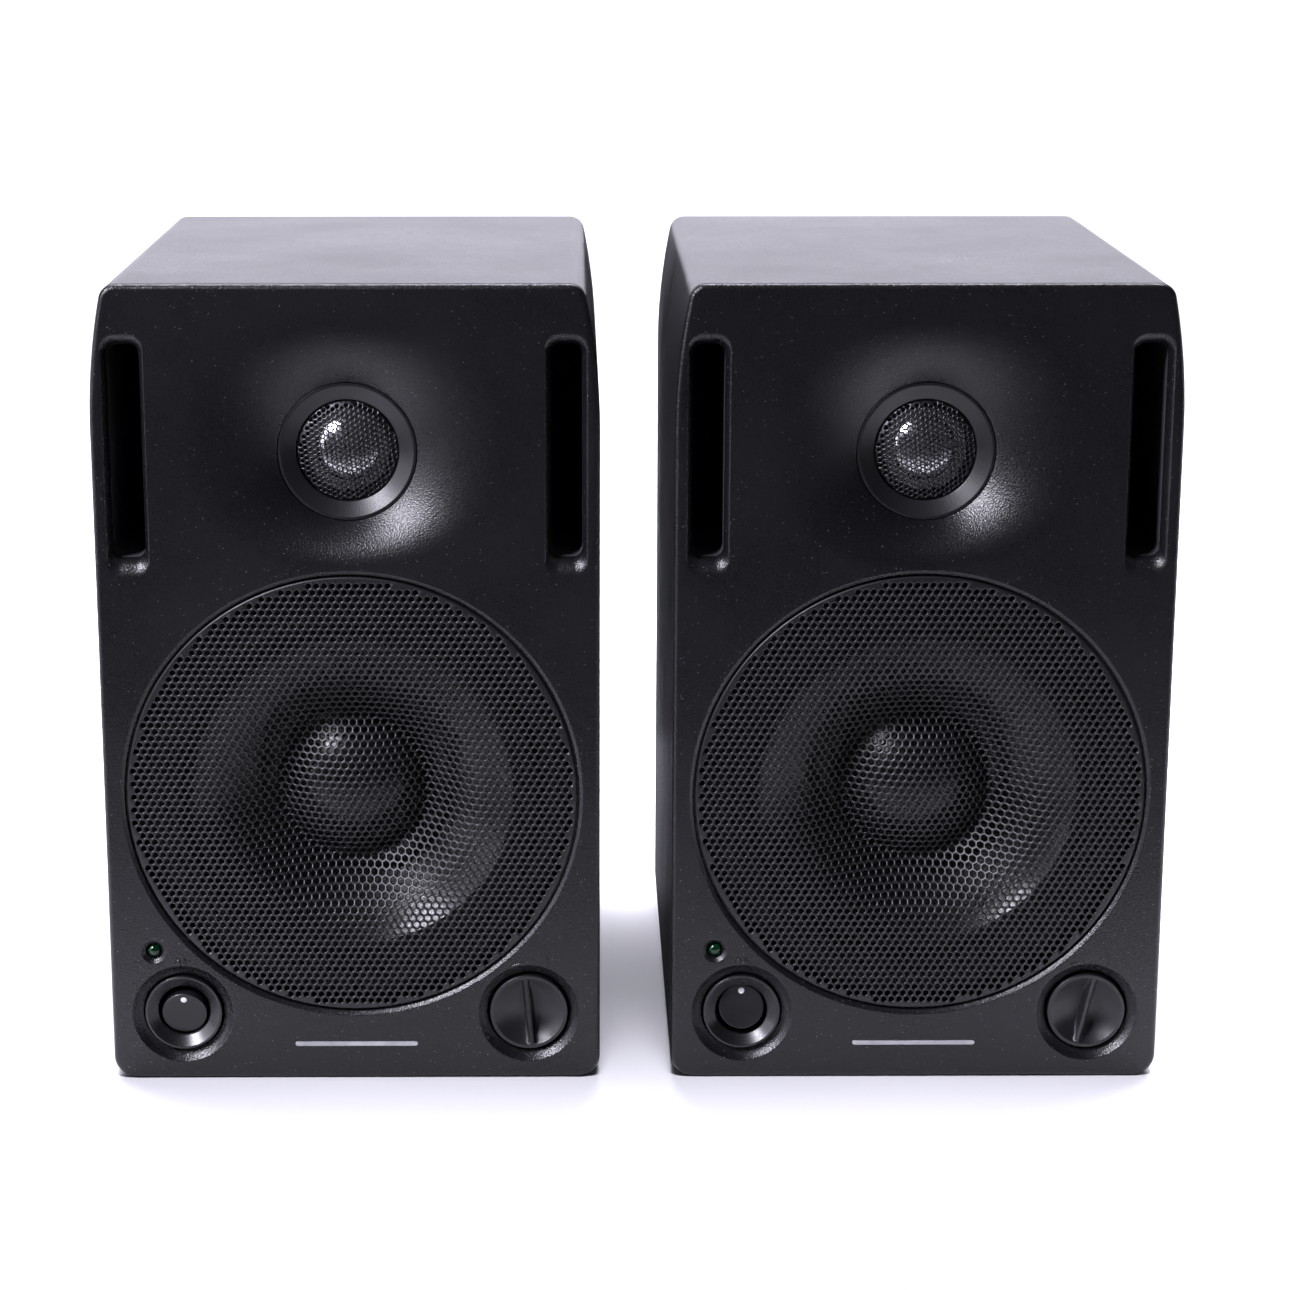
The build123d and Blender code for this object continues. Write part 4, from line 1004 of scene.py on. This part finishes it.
SHARED = {
    "baffle": baffle_shape(),
    "grille": perforated(GRILLE_R - 0.5, 2.37, 0.9, 0.7, grille_depth,
                         [(GRILLE_R - 0.2, GRILLE_FRONT + 0.12), (GRILLE_R - 0.04, GRILLE_FRONT + 0.4),
                          (GRILLE_R - 0.04, GRILLE_FRONT + 1.3),
                          (GRILLE_R - 0.5, GRILLE_FRONT + 1.3)],
                         WOOFER_X, WOOFER_Z),
    "mesh": perforated(local("tweeter_mesh")[2] - 0.02, 1.6, 0.61, 0.2, tweeter_mesh_depth, [],
                       TWEETER_X, TWEETER_Z, 36.5),
    "cone": cone_shape(),
    "cap": cap_shape(),
    "ring": tweeter_ring_shape(),
    "dome": dome_shape(),
    "bezel": bezel_shape(),
    "lamp": lamp_shape(),
    "badge": badge_shape(),
}
for side in SIDES:
    make_speaker(side, SHARED)


# ---------------------------------------------------------------- studio
def sweep():
    """Pale floor that curves up into a backdrop."""
    made = Shader("sweep_paper", (0.86, 0.86, 0.87), 0.8)
    made.link("Roughness", made.ramp(made.noise(6), 0.3, 0.7, 0.75, 0.9))
    near, turn_y, radius, top, half_width = -2.6, 2.0, 0.9, 3.2, 4.0
    profile = [(near, 0.0), (turn_y, 0.0)]
    profile += [(turn_y + radius * math.sin(t), radius * (1 - math.cos(t)))
                for t in np.linspace(0, math.pi / 2, 25)[1:]]
    profile.append((turn_y + radius, top))
    points = [(x, y, z) for y, z in profile for x in (-half_width, half_width)]
    faces = [(2 * k, 2 * k + 1, 2 * k + 3, 2 * k + 2) for k in range(len(profile) - 1)]
    mesh = bpy.data.meshes.new("sweep")
    mesh.from_pydata(points, [], faces)
    mesh.shade_smooth()
    mesh.materials.append(made.material)
    item = bpy.data.objects.new("sweep", mesh)
    bpy.context.scene.collection.objects.link(item)


def soft_light(name, position, target, size, power, spread=180, only=None):
    """A softbox, slightly cool. Only is the collection that it lights, or everything."""
    data = bpy.data.lights.new(name, "AREA")
    data.shape = "RECTANGLE"
    data.size, data.size_y = size
    data.energy = power
    data.spread = math.radians(spread)
    data.color = (0.97, 0.955, 1.08)
    item = bpy.data.objects.new(name, data)
    item.location = position
    item.rotation_euler = (Vector(target) - Vector(position)).to_track_quat("-Z", "Y").to_euler()
    item.visible_camera = False
    bpy.context.scene.collection.objects.link(item)
    if only:
        item.light_linking.receiver_collection = only


def reflected_shade_card():
    """Painted shade: a dark card in and behind the gap, seen only in glossy reflections, standing in for
    the shaded floor and backdrop that the calm inner sides reflect.
    """
    made = Shader("painted_shade_card", (0.07, 0.07, 0.075), 1.0)
    made.link("Roughness", made.ramp(made.noise(40), 0.3, 0.7, 0.9, 1.0))
    mesh = bpy.data.meshes.new("reflected_shade_card")
    points = [(x, y, z) for y, z in ((-0.09, 0.002), (0.3, 0.002), (0.3, 0.24)) for x in (-0.12, 0.12)]
    mesh.from_pydata(points, [], [(0, 1, 3, 2), (2, 3, 5, 4)])
    mesh.materials.append(made.material)
    item = bpy.data.objects.new("reflected_shade_card", mesh)
    bpy.context.scene.collection.objects.link(item)
    for kind in ("camera", "diffuse", "transmission", "volume_scatter", "shadow"):
        setattr(item, f"visible_{kind}", False)


def studio():
    scene = bpy.context.scene
    speakers = bpy.data.collections.new("speakers")
    for item in scene.objects:
        if item.type == "MESH":
            speakers.objects.link(item)
    sweep()
    floor = bpy.data.collections.new("floor")
    floor.objects.link(scene.objects["sweep"])
    soft_light("key", (-0.95, -0.85, 1.15), (0, -0.05, 0.12), (0.4, 0.5), 42, only=speakers)
    soft_light("window", (-1.45, -0.7, 0.65), (0, -0.05, 0.12), (0.5, 1.2), 10, only=speakers)
    soft_light("overhead", (0.0, 0.55, 1.25), (0, 0.55, 0), (3.4, 0.5), 60, 80)
    soft_light("backdrop", (0.0, 1.3, 1.9), (0, 2.5, 0.35), (4, 0.6), 60, 120)
    soft_light("apron", (0.0, -0.36, 0.6), (0, -0.16, 0), (1.2, 0.05), 0.8, 24, only=floor)
    # dark card seen only in reflections: painted shade for the shaded floor and backdrop between the
    # cabinets
    reflected_shade_card()
    world = bpy.data.worlds.new("world")
    world.use_nodes = True
    world.node_tree.nodes["Background"].inputs["Color"].default_value = (0.9, 0.9, 1.0, 1)
    world.node_tree.nodes["Background"].inputs["Strength"].default_value = 0.05
    scene.world = world
    scene.view_settings.view_transform = "Standard"


def camera():
    """The photographed view: about a metre away, a little left of the middle and looking down."""
    data = bpy.data.cameras.new("camera")
    data.lens = 89.0
    data.sensor_width = 36
    data.shift_x, data.shift_y = 0.043, 0.0498
    item = bpy.data.objects.new("camera", data)
    item.location = (-0.0199, -1.0273, 0.3644)
    item.rotation_euler = (math.radians(90 - 14.77), 0, math.radians(-0.35))
    bpy.context.scene.collection.objects.link(item)
    bpy.context.scene.camera = item


camera()
studio()
